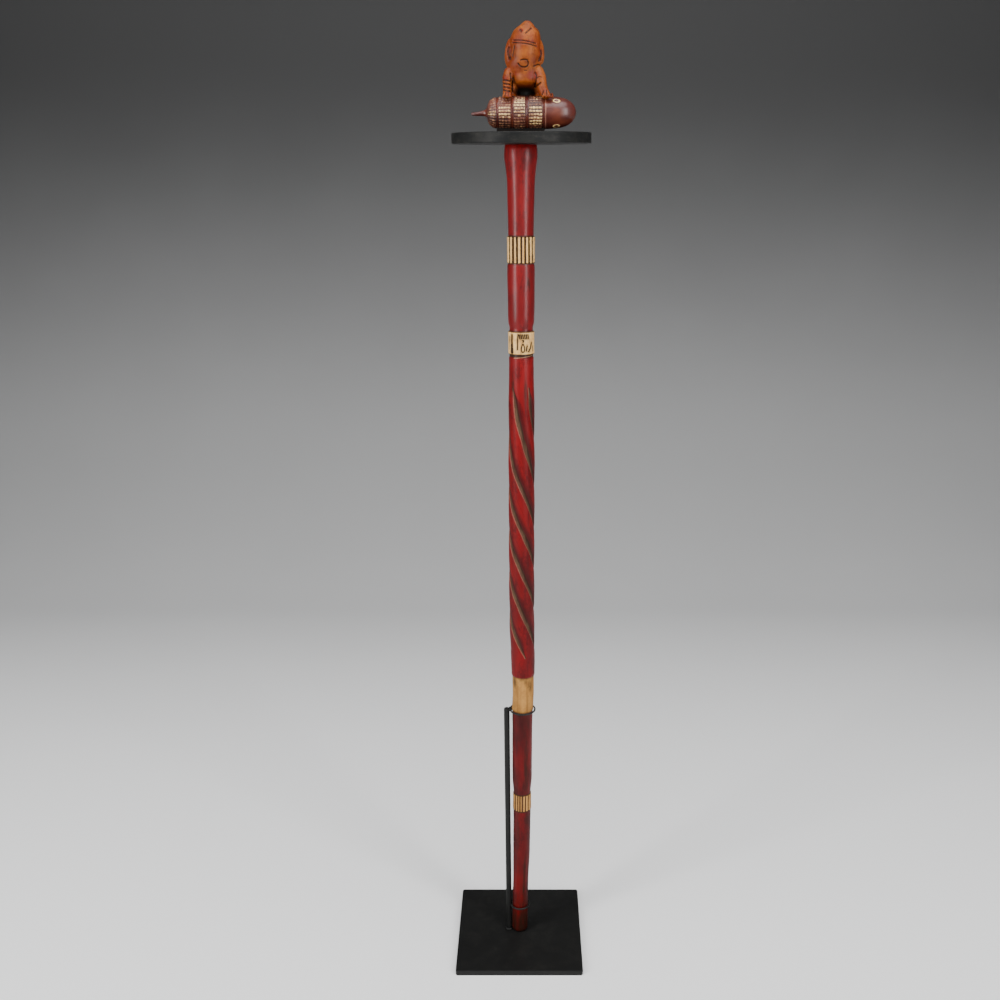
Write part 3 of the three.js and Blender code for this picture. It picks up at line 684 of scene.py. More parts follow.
def shapeShaft(piece):
    upperFlutes = handCutFlutes(shaft["upperFlutes"], shaft["upperFluteWidth"], 11)
    lowerFlutes = handCutFlutes(shaft["lowerFlutes"], shaft["lowerFluteWidth"], 5)
    strokes = strokeSamples(19.6)
    tree = kdtree.KDTree(len(strokes))
    for index, (spot, halfWidth) in enumerate(strokes):
        tree.insert(spot, index)
    tree.balance()
    names = ("cream", "bare", "groove", "side", "flute", "mark", "notch", "line", "level", "stainAndShade")
    fields = {name: [] for name in names}
    for vertex in piece.data.vertices:
        co = vertex.co
        turned, level = readPlace(co)
        radius = math.hypot(co.x, co.y)
        change = 0.0
        spot = Vector((co.x / 15, co.y / 15, level / 34))
        change += noise.noise(spot) * 0.32 + noise.noise(spot * 3.1) * 0.1
        upperField, upperCut = fluteDepth(turned, level, shaft["upperBand"], upperFlutes, 20.4)
        lowerField, lowerCut = fluteDepth(turned, level, shaft["lowerBand"], lowerFlutes, 15.6)
        change -= upperCut * shaft["upperFluteDepth"] + lowerCut * shaft["lowerFluteDepth"]
        grooveField, twistChange, side = twistCut(turned, level)
        change += twistChange * shaft["grooveDepth"]
        markField = -20.0
        if shaft["middleBand"][0] < level < shaft["middleBand"][1]:
            nearest, index, distance = tree.find(Vector((math.radians(turned) * 19.6, level, 0)))
            markField = strokes[index][1] - distance
            change -= smoothStep(-0.35, 0.25, markField) * shaft["markDepth"]
        # A chip out of the lip
        chip = math.hypot(angleGap(turned, 57) * 0.33, (level - 500.5) * 1.1)
        change -= (1 - smoothStep(0.6, 3.4, chip)) * 1.1
        if radius > 1:
            grown = (radius + change * smoothStep(0, 9, radius)) / radius
            co.x *= grown
            co.y *= grown
        bands = [shaft["lowerBand"], shaft["middleBand"], shaft["upperBand"]]
        fields["cream"].append(max(min(level - low, high - level) for low, high in bands))
        fields["bare"].append(min(level - shaft["bare"][0], shaft["bare"][1] - level))
        fields["groove"].append(grooveField)
        fields["side"].append(side)
        fields["notch"].append(min(level - 1026.4, 1031.4 - level))
        lineAway = abs(level - 1025.7 - (turned + 30) / 32) if -38 < turned < 66 else 9
        fields["line"].append(0.45 - lineAway)
        fields["stainAndShade"].append(stainAndShadeAt(turned, level))
        fields["flute"].append(max(upperField, lowerField))
        fields["mark"].append(markField)
        fields["level"].append(level / shaft["length"])
        co.x += bowAt(level)
    for name, values in fields.items():
        storeField(piece, name, values)


def splitEdges(piece, chosen, cuts):
    editPiece(piece, "EDGE")
    bpy.ops.mesh.select_all(action="DESELECT")
    bpy.ops.object.mode_set(mode="OBJECT")
    vertices = piece.data.vertices
    for edge in piece.data.edges:
        edge.select = chosen(vertices[edge.vertices[0]].co, vertices[edge.vertices[1]].co)
    bpy.ops.object.mode_set(mode="EDIT")
    bpy.ops.mesh.subdivide(number_cuts=cuts)
    bpy.ops.object.mode_set(mode="OBJECT")


def finialMatrix():
    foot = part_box("staff_shaft")[0].z
    place = Vector((bowAt(shaft["length"]) * mm, 0, foot + finial["headHeight"]))
    forward = Matrix.Rotation(math.radians(finial["forwardTilt"]), 4, "X")
    sideways = Matrix.Rotation(math.radians(-finial["sideTilt"]), 4, "Y")
    return Matrix.Translation(place) @ forward @ sideways


def makeShaft(material):
    levels = steppedPlaces(shaftSpans)
    outline = [pair for pair in shaftOutline if pair[0] < 9]
    outline += [(level, smoothValue(shaftOutline[3:-2], level)) for level in levels]
    outline += [pair for pair in shaftOutline if pair[0] > 1323]
    piece = spinOutline("shaft_wood", outline, shaft["around"])

    def levelEdge(first, second):
        flutedBands = (shaft["lowerBand"], shaft["upperBand"])
        inBand = any(low - 1.5 < first.z < high + 1.5 for low, high in flutedBands)
        return inBand and abs(first.z - second.z) < 0.01

    def markedEdge(first, second):
        middle = (first + second) / 2
        low, high = shaft["middleBand"]
        return low + 1 < middle.z < high - 1 and middle.y < -3

    splitEdges(piece, levelEdge, 2)
    splitEdges(piece, markedEdge, 1)
    shapeShaft(piece)
    top = shaft["length"]
    tilt = finialMatrix().to_3x3()
    centre = Vector((bowAt(top), 0, top))
    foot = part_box("staff_shaft")[0].z
    for vertex in piece.data.vertices:
        if vertex.co.z > top - 2:
            vertex.co = centre + tilt @ (vertex.co - centre)
        vertex.co *= mm
        vertex.co.z += foot
    smoothPiece(piece, 50)
    finishPiece(piece, material, "staff_shaft")


shaftColors = {
    "red": (98, 10, 13),
    "brightRed": (124, 9, 13),
    "deepRedToneAndShade": (48, 6, 7),
    "lowerRed": (96, 6, 8),
    "lowerDark": (38, 12, 6),
    "cream": (222, 180, 116),
    "creamShade": (158, 112, 58),
    "lowCream": (182, 136, 78),
    "brown": (34, 18, 7),
    "lowBrown": (72, 45, 25),
    "bare": (168, 122, 64),
    "bareDark": (114, 74, 34),
    "stainAndShade": (34, 18, 9),
    "groove": (80, 60, 43),
    "grooveShadedWood": (40, 24, 15),
    "grooveEdge": (150, 112, 92),
    "notch": (46, 26, 15),
    "lightLine": (176, 132, 100),
}


def shaftRed(tree, color, level, cloud, grain):
    upperRed = mixOf(tree, rangeOf(tree, cloud, 0.35, 0.7), color["red"], color["brightRed"])
    streak = rangeOf(tree, grain["Streak"], 0.5, 0.95, 0.0, 0.55)
    upperRed = mixOf(tree, streak, upperRed, color["deepRedToneAndShade"])
    lowerRed = mixOf(tree, rangeOf(tree, cloud, 0.35, 0.75), color["lowerRed"], color["deepRedToneAndShade"])
    streaks = patchMask(tree, 60.0, 0.42, 0.12, (1.0, 1.0, 0.12))
    lowerRed = mixOf(tree, mathOf(tree, "MULTIPLY", streaks, 0.6), lowerRed, color["lowerDark"])
    red = mixOf(tree, rangeOf(tree, level, 0.34, 0.36), lowerRed, upperRed)
    # Painted shade: the lower part of the twist is darkened towards its foot
    lowTwistShade = rangeOf(tree, level, 0.62, 0.4, 0.0, 0.3)
    isTwist = rangeOf(tree, level, 0.35, 0.36)
    red = mixOf(tree, mathOf(tree, "MULTIPLY", lowTwistShade, isTwist), red, color["deepRedToneAndShade"])
    spots = patchMask(tree, 48.0, 0.36, 0.08, (1.0, 1.0, 0.5))
    return mixOf(tree, mathOf(tree, "MULTIPLY", spots, 0.6), red, color["deepRedToneAndShade"])


# Spiral grooves, rubbed down to brown wood and pale on the left edge, with painted shade towards the right
# wall of each groove and on the red just past it, which is partly a dark stain too
def paintGrooves(tree, red, color, grain):
    groove = fieldOf(tree, "groove")
    side = fieldOf(tree, "side")
    # Painted shade, partly a dark stain, on the red just right of each groove
    shadeIn = rangeOf(tree, side, 1.0, 4.0)
    shadeOut = rangeOf(tree, side, 12.0, 5.0)
    shade = mathOf(tree, "MULTIPLY", mathOf(tree, "MULTIPLY", shadeIn, shadeOut), 0.8)
    painted = mixOf(tree, shade, red, color["deepRedToneAndShade"])
    inGroove = edgeMask(tree, groove, 1.5, 0.5, 160.0)
    rim = edgeMask(tree, mathOf(tree, "ADD", groove, 0.9), 1.3, 0.4, 210.0)
    rimOnly = mathOf(tree, "SUBTRACT", rim, inGroove, "clamp")
    rimLeft = mathOf(tree, "MULTIPLY", rimOnly, rangeOf(tree, side, 1.0, -1.0, 0.0, 0.45))
    painted = mixOf(tree, rimLeft, painted, color["grooveEdge"])
    # Painted shade: the groove wood darker towards its right wall, mixed with the grain
    grooveShadeAndGrain = mathOf(tree, "MULTIPLY_ADD", side, 0.16, grain["Streak"])
    wood = mixOf(tree, rangeOf(tree, grooveShadeAndGrain, 0.3, 0.95), color["groove"], color["grooveShadedWood"])
    redLeft = patchMask(tree, 75.0, 0.5, 0.12, (1.0, 1.0, 0.3))
    wood = mixOf(tree, mathOf(tree, "MULTIPLY", redLeft, 0.5), wood, color["deepRedToneAndShade"])
    return mixOf(tree, inGroove, painted, wood), inGroove


# Bare length, golden and blotched, darker near its ends
def paintBare(tree, painted, color, grain):
    bare = fieldOf(tree, "bare")
    streak = rangeOf(tree, grain["Streak"], 0.35, 0.85, 0.0, 0.7)
    wood = mixOf(tree, streak, color["bare"], color["bareDark"])
    blotches = patchMask(tree, 70.0, 0.45, 0.14, (1.0, 1.0, 0.6))
    wood = mixOf(tree, mathOf(tree, "MULTIPLY", blotches, 0.6), wood, color["bareDark"])
    stained = mathOf(tree, "MULTIPLY", rangeOf(tree, bare, 3.2, 0.6), 0.5)
    wood = mixOf(tree, stained, wood, color["stainAndShade"])
    inBare = edgeMask(tree, bare, 1.6, 0.4, 90.0)
    return mixOf(tree, inBare, painted, wood), inBare


# Cream bands, brown in the flutes, strokes and edges, with dirt beside them
def paintBands(tree, painted, color, level, grain):
    creamField = fieldOf(tree, "cream")
    cream = mixOf(tree, rangeOf(tree, level, 0.3, 0.6), color["lowCream"], color["cream"])
    cream = mixOf(tree, rangeOf(tree, grain["Streak"], 0.4, 0.85, 0.0, 0.8), cream, color["creamShade"])
    handled = patchMask(tree, 85.0, 0.4, 0.12)
    cream = mixOf(tree, mathOf(tree, "MULTIPLY", handled, 0.55), cream, color["creamShade"])
    mark = fieldOf(tree, "mark")
    inFlute = edgeMask(tree, mathOf(tree, "ADD", fieldOf(tree, "flute"), 0.4), 1.3, 0.45, 300.0)
    inMark = edgeMask(tree, mathOf(tree, "ADD", mark, 0.15), 0.7, 0.3, 500.0)
    rubbedIn = mathOf(tree, "MULTIPLY", rangeOf(tree, mark, -3.0, 0.3), 0.45)
    dark = mathOf(tree, "MAXIMUM", mathOf(tree, "MAXIMUM", inFlute, inMark), rubbedIn)
    brown = mixOf(tree, rangeOf(tree, level, 0.3, 0.6), color["lowBrown"], color["brown"])
    cream = mixOf(tree, dark, cream, brown)
    edgeDirt = rangeOf(tree, creamField, 1.5, 0.2, 0.0, 0.85)
    cream = mixOf(tree, edgeDirt, cream, color["brown"])
    beside = mathOf(tree, "MULTIPLY", rangeOf(tree, creamField, -3.2, -0.6), 0.75)
    painted = mixOf(tree, beside, painted, color["notch"])
    inNotch = edgeMask(tree, fieldOf(tree, "notch"), 1.2, 0.4, 150.0)
    painted = mixOf(tree, inNotch, painted, color["notch"])
    line = mathOf(tree, "MULTIPLY", edgeMask(tree, fieldOf(tree, "line"), 0.9, 0.3, 260.0), 0.6)
    painted = mixOf(tree, line, painted, color["lightLine"])
    inCream = edgeMask(tree, creamField, 0.8, 0.25, 180.0)
    return mixOf(tree, inCream, painted, cream), inCream


def makeShaftMaterial():
    material, tree, shader = newMaterial("paintedShaft")
    color = {name: screenColor(*value) for name, value in shaftColors.items()}
    level = fieldOf(tree, "level")
    grain = useGroup(tree, woodGrain, Stretch=(1.0, 1.0, 0.06), Scale=160.0, Contrast=1.6)
    cloud = noiseOf(tree, objectPlace(tree, (1, 1, 0.35)), 34.0, 4.0)
    red = shaftRed(tree, color, level, cloud, grain)
    painted, inGroove = paintGrooves(tree, red, color, grain)
    painted, inBare = paintBare(tree, painted, color, grain)
    broken = noiseOf(tree, objectPlace(tree, (1, 1, 0.25)), 170.0, 5.0, 0.65)
    # Dark stains, and painted shade all round the foot, broken up by fine noise
    stainAndShadeMask = mathOf(tree, "MULTIPLY", fieldOf(tree, "stainAndShade"), rangeOf(tree, broken, 0.3, 0.6, 0.25, 0.95))
    painted = mixOf(tree, stainAndShadeMask, painted, color["stainAndShade"])
    painted, inCream = paintBands(tree, painted, color, level, grain)
    feed(tree, shader["Base Color"], painted)
    # Satin paint, duller on bare wood
    dull = mathOf(tree, "MAXIMUM", inGroove, mathOf(tree, "MAXIMUM", inCream, inBare))
    sheen = rangeOf(tree, cloud, 0.3, 0.7, 0.4, 0.54, False)
    feed(tree, shader["Roughness"], mathOf(tree, "MULTIPLY_ADD", dull, 0.16, sheen))
    shader["Specular IOR Level"].default_value = 0.13
    polish = rangeOf(tree, level, 0.7, 0.86, 0.03, 0.4)
    feed(tree, shader["Coat Weight"], mathOf(tree, "MULTIPLY", polish, mathOf(tree, "SUBTRACT", 1.0, dull)))
    shader["Coat Roughness"].default_value = 0.3
    halfStreak = mathOf(tree, "MULTIPLY", grain["Streak"], 0.5)
    bumpHeight = mathOf(tree, "MULTIPLY_ADD", grain["Fibre"], 0.5, halfStreak)
    bumpFrom(tree, shader, bumpHeight, 0.35, 0.35 * mm)
    return material


# Platform disc

finial = {
    "headHeight": 1330.5 * mm,
    "forwardTilt": 1.5,
    "sideTilt": 0.25,
    "discRadius": 100.0,
    "discThickness": 14.8,
    "discBevel": 1.6,
    "discSide": 1.1,
    "gap": 0.3,
}


def placeOnStaff(piece):
    piece.data.transform(finialMatrix() @ Matrix.Scale(mm, 4))
    piece.data.update()


def makeDisc(material):
    radius = finial["discRadius"]
    thick = finial["discThickness"]
    bevel = finial["discBevel"]
    corner = [fullTurn / 4 * step / 6 for step in range(7)]
    outline = [(0, 0), (0, radius * 0.25), (0, radius * 0.5), (0, radius * 0.75), (0, radius - bevel * 3)]
    outline += [(bevel - bevel * math.cos(a), radius - bevel + bevel * math.sin(a)) for a in corner]
    outline += [(thick * share, radius) for share in (0.3, 0.42, 0.5, 0.58, 0.7)]
    outline += [(thick - bevel + bevel * math.sin(a), radius - bevel + bevel * math.cos(a)) for a in corner]
    outline += [(thick, radius * share) for share in (0.94, 0.75, 0.5, 0.25, 0)]
    piece = spinOutline("disc_wood", outline, 180)
    for vertex in piece.data.vertices:
        flat = math.hypot(vertex.co.x, vertex.co.y)
        if flat > radius * 0.9:
            spot = Vector((vertex.co.x / 18, vertex.co.y / 18, vertex.co.z / 5))
            shrink = 1 - 0.004 * max(0, noise.noise(spot) + 0.3)
            vertex.co.x *= shrink
            vertex.co.y *= shrink
        vertex.co.x += finial["discSide"]
        vertex.co.z += finial["gap"]
    placeOnStaff(piece)
    smoothPiece(piece, 40)
    finishPiece(piece, material, "platform_disc")


def makeDiscMaterial():
    material, tree, shader = newMaterial("dullBlackWood")
    rubbed = patchMask(tree, 42.0, 0.42, 0.07, (1.0, 1.0, 2.0))
    cloud = noiseOf(tree, objectPlace(tree), 22.0, 4.0)
    black = mixOf(tree, cloud, screenColor(5, 6, 6), screenColor(13, 14, 13))
    black = mixOf(tree, mathOf(tree, "MULTIPLY", rubbed, 0.6), black, screenColor(28, 27, 24))
    scuffs = patchMask(tree, 90.0, 0.34, 0.05, (1.0, 1.0, 3.0))
    black = mixOf(tree, mathOf(tree, "MULTIPLY", scuffs, 0.5), black, screenColor(38, 36, 32))
    feed(tree, shader["Base Color"], black)
    feed(tree, shader["Roughness"], rangeOf(tree, cloud, 0.3, 0.7, 0.5, 0.68, False))
    shader["Specular IOR Level"].default_value = 0.2
    grain = useGroup(tree, woodGrain, Stretch=(0.1, 1.0, 1.0), Scale=200.0, Contrast=1.0)
    bumpFrom(tree, shader, grain["Streak"], 0.4, 0.3 * mm)
    return material


# Striped beast, lying along X. Shares of its body's length and radius

beast = {
    "radius": 22.2,
    "length": 127.0,
    "tail": 22.0,
    "back": 48.0,
    "footLength": 68.0,
    "footDepth": 15.0,
    "footHeight": 4.3,
    "around": 156,
    "dashes": 30,
    "dashGap": 1.0,
    "dashDepth": 0.75,
    "cellLength": 4.4,
    "brightTurns": [(-14, 2), (-14, 24), (0, 58), (-44, 20)],
    "dividerDepth": 0.9,
    "eyeShare": 0.775,
    "eyeTurns": (45, -58),
}
beastAxis = finial["gap"] * 2 + finial["discThickness"] + beast["footHeight"] + beast["radius"]
beastOutline = [
    (0, 0.3), (0.012, 0.54), (0.04, 0.77), (0.09, 0.92), (0.15, 0.97), (0.35, 1), (0.6, 1),
    (0.72, 0.97), (0.8, 0.93), (0.88, 0.82), (0.94, 0.63), (0.98, 0.38), (1, 0.1),
]
beastDividers = [(0.122, 0.013), (0.286, 0.015), (0.449, 0.019), (0.633, 0.012)]
tailOutline = [(-1, 0), (-0.995, 0.05), (-0.95, 0.085), (-0.6, 0.12), (-0.25, 0.16), (-0.06, 0.22)]


beastFields = ("dash", "tone", "belt", "headPart", "eyeRim")


# How much cream is left on one dash: most on the rows that face the front of each belt
def dashTone(belt, turned, row, cell):
    low, high = beast["brightTurns"][belt]
    bright = smoothStep(low - 8, low + 2, turned) * (1 - smoothStep(high - 2, high + 8, turned))
    luck = noise.noise(Vector((row * 3.7 + belt * 11, cell * 5.3, 2))) * 0.5
    return min(max(0.22 + 0.42 * bright + luck * 1.05, 0), 1)


def beltOf(share):
    edges = [0.012] + [edge for middle, half in beastDividers for edge in (middle - half, middle + half)]
    for belt in range(4):
        low, high = edges[belt * 2], edges[belt * 2 + 1]
        if low < share < high:
            return belt, min(share - low, high - share) * beast["length"]
    return None, 0.0


def beastRadiusAt(x):
    share = (x + beast["back"]) / beast["length"]
    if share < 0 or share > 1:
        return 0.0
    return beast["radius"] * smoothValue(beastOutline, share)


def shapeBeast(piece):
    fields = {name: [] for name in beastFields}
    dice = random.Random(4)
    offsets = [dice.uniform(0, 1) for belt in range(4)]
    pitch = 360 / beast["dashes"]
    for vertex in piece.data.vertices:
        co = vertex.co
        share = (co.z + beast["back"]) / beast["length"]
        radius = math.hypot(co.x, co.y)
        turned = math.degrees(math.atan2(co.y, -co.x))  # 0 on the front, 90 on the back of the beast
        change = noise.noise(Vector((co.x / 9, co.y / 9, co.z / 14))) * 0.25
        belt, inside = beltOf(share)
        dashField = -20.0
        tone = 0.0
        if belt is not None:
            waver = noise.noise(Vector((belt * 9.0, turned / 25, co.z / 6))) * 0.13
            along = turned / pitch + offsets[belt] + waver
            row = math.floor(along)
            spot = along - row
            fromGap = min(spot, 1 - spot) * math.radians(pitch) * radius
            shift = noise.noise(Vector((row * 2.3, belt, 0))) * 0.6
            lengthwise = (co.z + 1.3 * spot) / beast["cellLength"] + shift
            cell = math.floor(lengthwise)
            fromCut = min(lengthwise - cell, 1 - lengthwise + cell) * beast["cellLength"]
            dashField = min(fromGap - beast["dashGap"], fromCut - 0.42, inside - 0.5)
            tone = dashTone(belt, turned, row, cell)
            change -= (1 - smoothStep(-0.35, 0.45, dashField)) * beast["dashDepth"]
        for middle, half in beastDividers:
            gap = abs(share - middle) / half
            if gap < 1.15:
                groove = abs(gap - 0.55)
                change -= (1 - smoothStep(0.12, 0.45, groove)) * beast["dividerDepth"]
        rim = -20.0
        for eyeTurn in beast["eyeTurns"]:
            across = math.radians(angleGap(turned, eyeTurn)) * radius
            along = (share - beast["eyeShare"]) * beast["length"]
            away = math.hypot(along / 5.0, across / 3.4)
            rim = max(rim, (0.2 - abs(away - 0.85)) * 5)
            change += (1 - smoothStep(0.95, 1.2, away)) * 1.0
            change -= (1 - smoothStep(0.45, 0.7, away)) * 0.7
        if radius > 0.4:
            grown = 1 + change * smoothStep(0, 8, radius) / radius
            co.x *= grown
            co.y *= grown
        fields["dash"].append(dashField)
        fields["tone"].append(tone)
        fields["belt"].append(-1.0 if belt is None else float(belt))
        fields["headPart"].append((share - 0.655) * beast["length"])
        fields["eyeRim"].append(rim)
        droop = smoothStep(0, -0.12, share) * 0.06 * beast["radius"]
        # Spun round Z, then laid along X with its upper side up
        co.x, co.y, co.z = co.z, co.x, co.y - droop
    for name, values in fields.items():
        storeField(piece, name, values)


def makeBeast(material, blockMaterial):
    length, radius, back = beast["length"], beast["radius"], beast["back"]
    tail = [(share * beast["tail"] - back, value * radius) for share, value in tailOutline]
    shares = steppedPlaces([(0, 0.09, 0.006), (0.09, 0.66, 0.0052), (0.66, 0.9, 0.009), (0.9, 1, 0.007)])
    body = [(share * length - back, radius * smoothValue(beastOutline, share)) for share in shares]
    outline = tail + body[:-1] + [(length - back, 0)]
    piece = spinOutline("beast_body", outline, beast["around"])
    shapeBeast(piece)
    faceOutwards(piece)
    # Low block that it lies on, with softened edges
    height = beast["footHeight"] + radius * 0.45
    bpy.ops.mesh.primitive_cube_add(
        size=1, location=(0, 0, height / 2 - beastAxis + finial["gap"] * 2 + finial["discThickness"]),
        scale=(beast["footLength"], beast["footDepth"], height),
    )
    block = nameActive("beastBlock")
    applyPlace(block)
    editPiece(block)
    bpy.ops.mesh.select_all(action="SELECT")
    bpy.ops.mesh.subdivide(number_cuts=12)
    bpy.ops.object.mode_set(mode="OBJECT")
    useModifier(block, "BEVEL", width=0.9, segments=3, limit_method="ANGLE", angle_limit=math.radians(60))
    for vertex in block.data.vertices:
        spot = vertex.co / 11
        vertex.co.y *= 1 + 0.03 * noise.noise(spot)
        vertex.co.x *= 1 + 0.012 * noise.noise(spot + Vector((4, 0, 0)))
    piece.data.materials.append(material)
    block.data.materials.append(blockMaterial)
    for name in beastFields:
        storeField(block, name, [-20.0] * len(block.data.vertices))
    piece = joinPieces([piece, block], "beast_wood")
    for vertex in piece.data.vertices:
        vertex.co.z += beastAxis
    placeOnStaff(piece)
    smoothPiece(piece, 50)
    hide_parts("striped_beast")
    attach(piece, "root")
    print("finished", piece.name, len(piece.data.polygons), "faces")


beastColors = {
    "brown": (74, 27, 21),
    "light": (102, 46, 28),
    "dark": (36, 12, 10),
    "pink": (88, 44, 35),
    "cream": (220, 184, 124),
    "gap": (34, 13, 9),
    "tan": (146, 98, 68),
    "collar": (150, 104, 86),
}


def makeBeastMaterial():
    material, tree, shader = newMaterial("polishedBeastWood")
    color = {name: screenColor(*value) for name, value in beastColors.items()}
    grain = useGroup(tree, woodGrain, Stretch=(0.07, 1.0, 1.0), Scale=150.0, Contrast=1.6)
    cloud = noiseOf(tree, objectPlace(tree), 45.0, 4.0)
    brown = mixOf(tree, rangeOf(tree, cloud, 0.4, 0.72), color["brown"], color["light"])
    brown = mixOf(tree, rangeOf(tree, grain["Streak"], 0.5, 0.9, 0.0, 0.6), brown, color["dark"])
    # Darker between the dashes, and cream as far as each dash has kept it
    inBelt = rangeOf(tree, fieldOf(tree, "belt"), -0.6, -0.4)
    beltWood = mixOf(tree, rangeOf(tree, cloud, 0.35, 0.7), color["gap"], color["pink"])
    base = mixOf(tree, mathOf(tree, "MULTIPLY", inBelt, 0.75), brown, beltWood)
    dash = edgeMask(tree, fieldOf(tree, "dash"), 1.0, 0.35, 330.0)
    worn = noiseOf(tree, objectPlace(tree), 260.0, 4.0, 0.65)
    tone = mathOf(tree, "MULTIPLY_ADD", mathOf(tree, "SUBTRACT", worn, 0.5), 0.9, fieldOf(tree, "tone"))
    dashColor = mixOf(tree, rangeOf(tree, tone, 0.35, 0.85), color["tan"], color["cream"])
    kept = mathOf(tree, "MULTIPLY", dash, rangeOf(tree, tone, 0.05, 0.5, 0.2, 1.0))
    base = mixOf(tree, kept, base, dashColor)
    # Pale collar line and eye rims
    collar = mathOf(tree, "SUBTRACT", 0.8, mathOf(tree, "ABSOLUTE", fieldOf(tree, "headPart")))
    collarMask = mathOf(tree, "MULTIPLY", edgeMask(tree, collar, 1.6, 0.5, 150.0), 0.6)
    base = mixOf(tree, collarMask, base, color["collar"])
    base = mixOf(tree, edgeMask(tree, fieldOf(tree, "eyeRim"), 1.9, 0.4, 300.0), base, color["cream"])
    feed(tree, shader["Base Color"], base)
    feed(tree, shader["Roughness"], mathOf(tree, "MULTIPLY_ADD", inBelt, 0.18, 0.36))
    shader["Coat Weight"].default_value = 0.1
    shader["Coat Roughness"].default_value = 0.25
    bumpFrom(tree, shader, grain["Fibre"], 0.3, 0.25 * mm)
    return material


def makeBlockMaterial():
    material, tree, shader = newMaterial("darkBlockWood")
    grain = useGroup(tree, woodGrain, Stretch=(0.08, 1.0, 1.0), Scale=170.0, Contrast=1.4)
    wood = mixOf(tree, grain["Streak"], screenColor(8, 5, 4), screenColor(24, 15, 11))
    feed(tree, shader["Base Color"], wood)
    shader["Roughness"].default_value = 0.6
    shader["Specular IOR Level"].default_value = 0.15
    bumpFrom(tree, shader, grain["Fibre"], 0.3, 0.25 * mm)
    return material


# Seated figure on the beast's back. Shares of its height, from its middle and the beast's back

figure = {
    "height": 96.8,
    "side": 8.0,
    "base": beastAxis + beast["radius"],
    "voxel": 0.75,
}
figureRows = [
    (-0.06, 0, 0.12, -0.03, 0.2), (0.06, 0, 0.13, -0.03, 0.245), (0.11, 0, 0.15, 0.0, 0.252),
    (0.15, 0, 0.175, 0.09, 0.25), (0.19, 0, 0.19, 0.165, 0.242), (0.24, 0, 0.2, 0.18, 0.235),
    (0.3, -0.01, 0.22, 0.17, 0.222), (0.35, -0.03, 0.24, 0.178, 0.2),
    (0.41, -0.033, 0.245, 0.205, 0.186), (0.5, -0.015, 0.225, 0.232, 0.187),
    (0.58, -0.008, 0.216, 0.25, 0.197), (0.67, -0.01, 0.222, 0.257, 0.205),
    (0.76, -0.01, 0.222, 0.24, 0.19), (0.81, -0.003, 0.208, 0.222, 0.162),
    (0.865, 0.003, 0.183, 0.192, 0.115),
    (0.892, 0.006, 0.161, 0.172, 0.085), (0.917, 0.004, 0.128, 0.152, 0.06),
    (0.946, 0.015, 0.095, 0.128, 0.03), (0.975, 0.02, 0.066, 0.104, 0.0), (1, 0.022, 0.036, 0.08, -0.03),
]


def figurePlace(x, y, z):
    height = figure["height"]
    return Vector((figure["side"] + x * height, y * height, figure["base"] + z * height))


def figureColumn(index):
    return [(row[0], row[index]) for row in figureRows]


# The trunk: a round column spun up, then each ring of it pressed to its row's width and depth
def makeTrunk():
    heights = steppedPlaces([(-0.06, 0.3, 0.03), (0.3, 0.8, 0.05), (0.8, 1.0, 0.02)])
    outline = [(heights[0], 0)] + [(height, 1) for height in heights] + [(1, 0)]
    trunk = spinOutline("figureTrunk", outline, 64)
    for vertex in trunk.data.vertices:
        across, out, height = vertex.co
        middle, halfWidth, front, back = [smoothValue(figureColumn(index), height) for index in (1, 2, 3, 4)]
        depth = (back - front) / 2 + out * (front + back) / 2
        vertex.co = figurePlace(middle + across * halfWidth, depth, height)
    return trunk


def addBall(place, radii, turned=(0, 0, 0)):
    size = figure["height"]
    scale = [radius * size for radius in radii]
    turns = [math.radians(angle) for angle in turned]
    bpy.ops.mesh.primitive_uv_sphere_add(
        segments=24, ring_count=14, radius=1, location=figurePlace(*place), rotation=turns, scale=scale,
    )


# A limb laid down as close beads of clay along its stations of place and radius
def addLimb(stations, beads=6):
    for before, after in zip(stations, stations[1:]):
        for bead in range(beads):
            share = bead / beads
            spot = [a + (b - a) * share for a, b in zip(before, after)]
            addBall(spot[:3], (spot[3],) * 3)
    addBall(stations[-1][:3], (stations[-1][3],) * 3)


def addFigureLimbs():
    # Forelegs down to the hands on the beast's back
    addLimb([
        (-0.215, 0.0, 0.36, 0.055), (-0.25, -0.045, 0.32, 0.07), (-0.27, -0.08, 0.24, 0.072),
        (-0.275, -0.11, 0.14, 0.062), (-0.277, -0.135, 0.06, 0.06), (-0.275, -0.165, 0.012, 0.06),
    ])
    addLimb([
        (0.13, 0.0, 0.37, 0.07), (0.175, -0.045, 0.32, 0.086), (0.2, -0.085, 0.24, 0.09),
        (0.225, -0.11, 0.14, 0.078), (0.25, -0.14, 0.06, 0.072), (0.28, -0.165, 0.012, 0.068),
    ])
    for finger in (-1.5, -0.5, 0.5, 1.5):
        addBall((-0.272 + finger * 0.034, -0.2, -0.004), (0.0175, 0.055, 0.032), (20, 0, 0))
        addBall((0.31 + finger * 0.042, -0.197, -0.006), (0.022, 0.058, 0.034), (20, 0, 6 * finger))
    # Haunches, hind feet and a short tail behind
    for side, outward in ((-0.19, -0.01), (0.185, 0.01)):
        addBall((side, 0.1, 0.12), (0.065, 0.14, 0.125))
        addBall((side + outward, 0.1, -0.002), (0.07, 0.13, 0.055))
    addLimb([(0, 0.2, 0.08, 0.05), (0, 0.26, 0.03, 0.035), (0, 0.3, -0.03, 0.02)], 4)
    # Long ear flaps at the sides of the head
    addBall((-0.245, -0.012, 0.585), (0.058, 0.1, 0.19), (0, 6, 12))
    addBall((0.2, -0.01, 0.595), (0.062, 0.095, 0.175), (0, -5, -12))


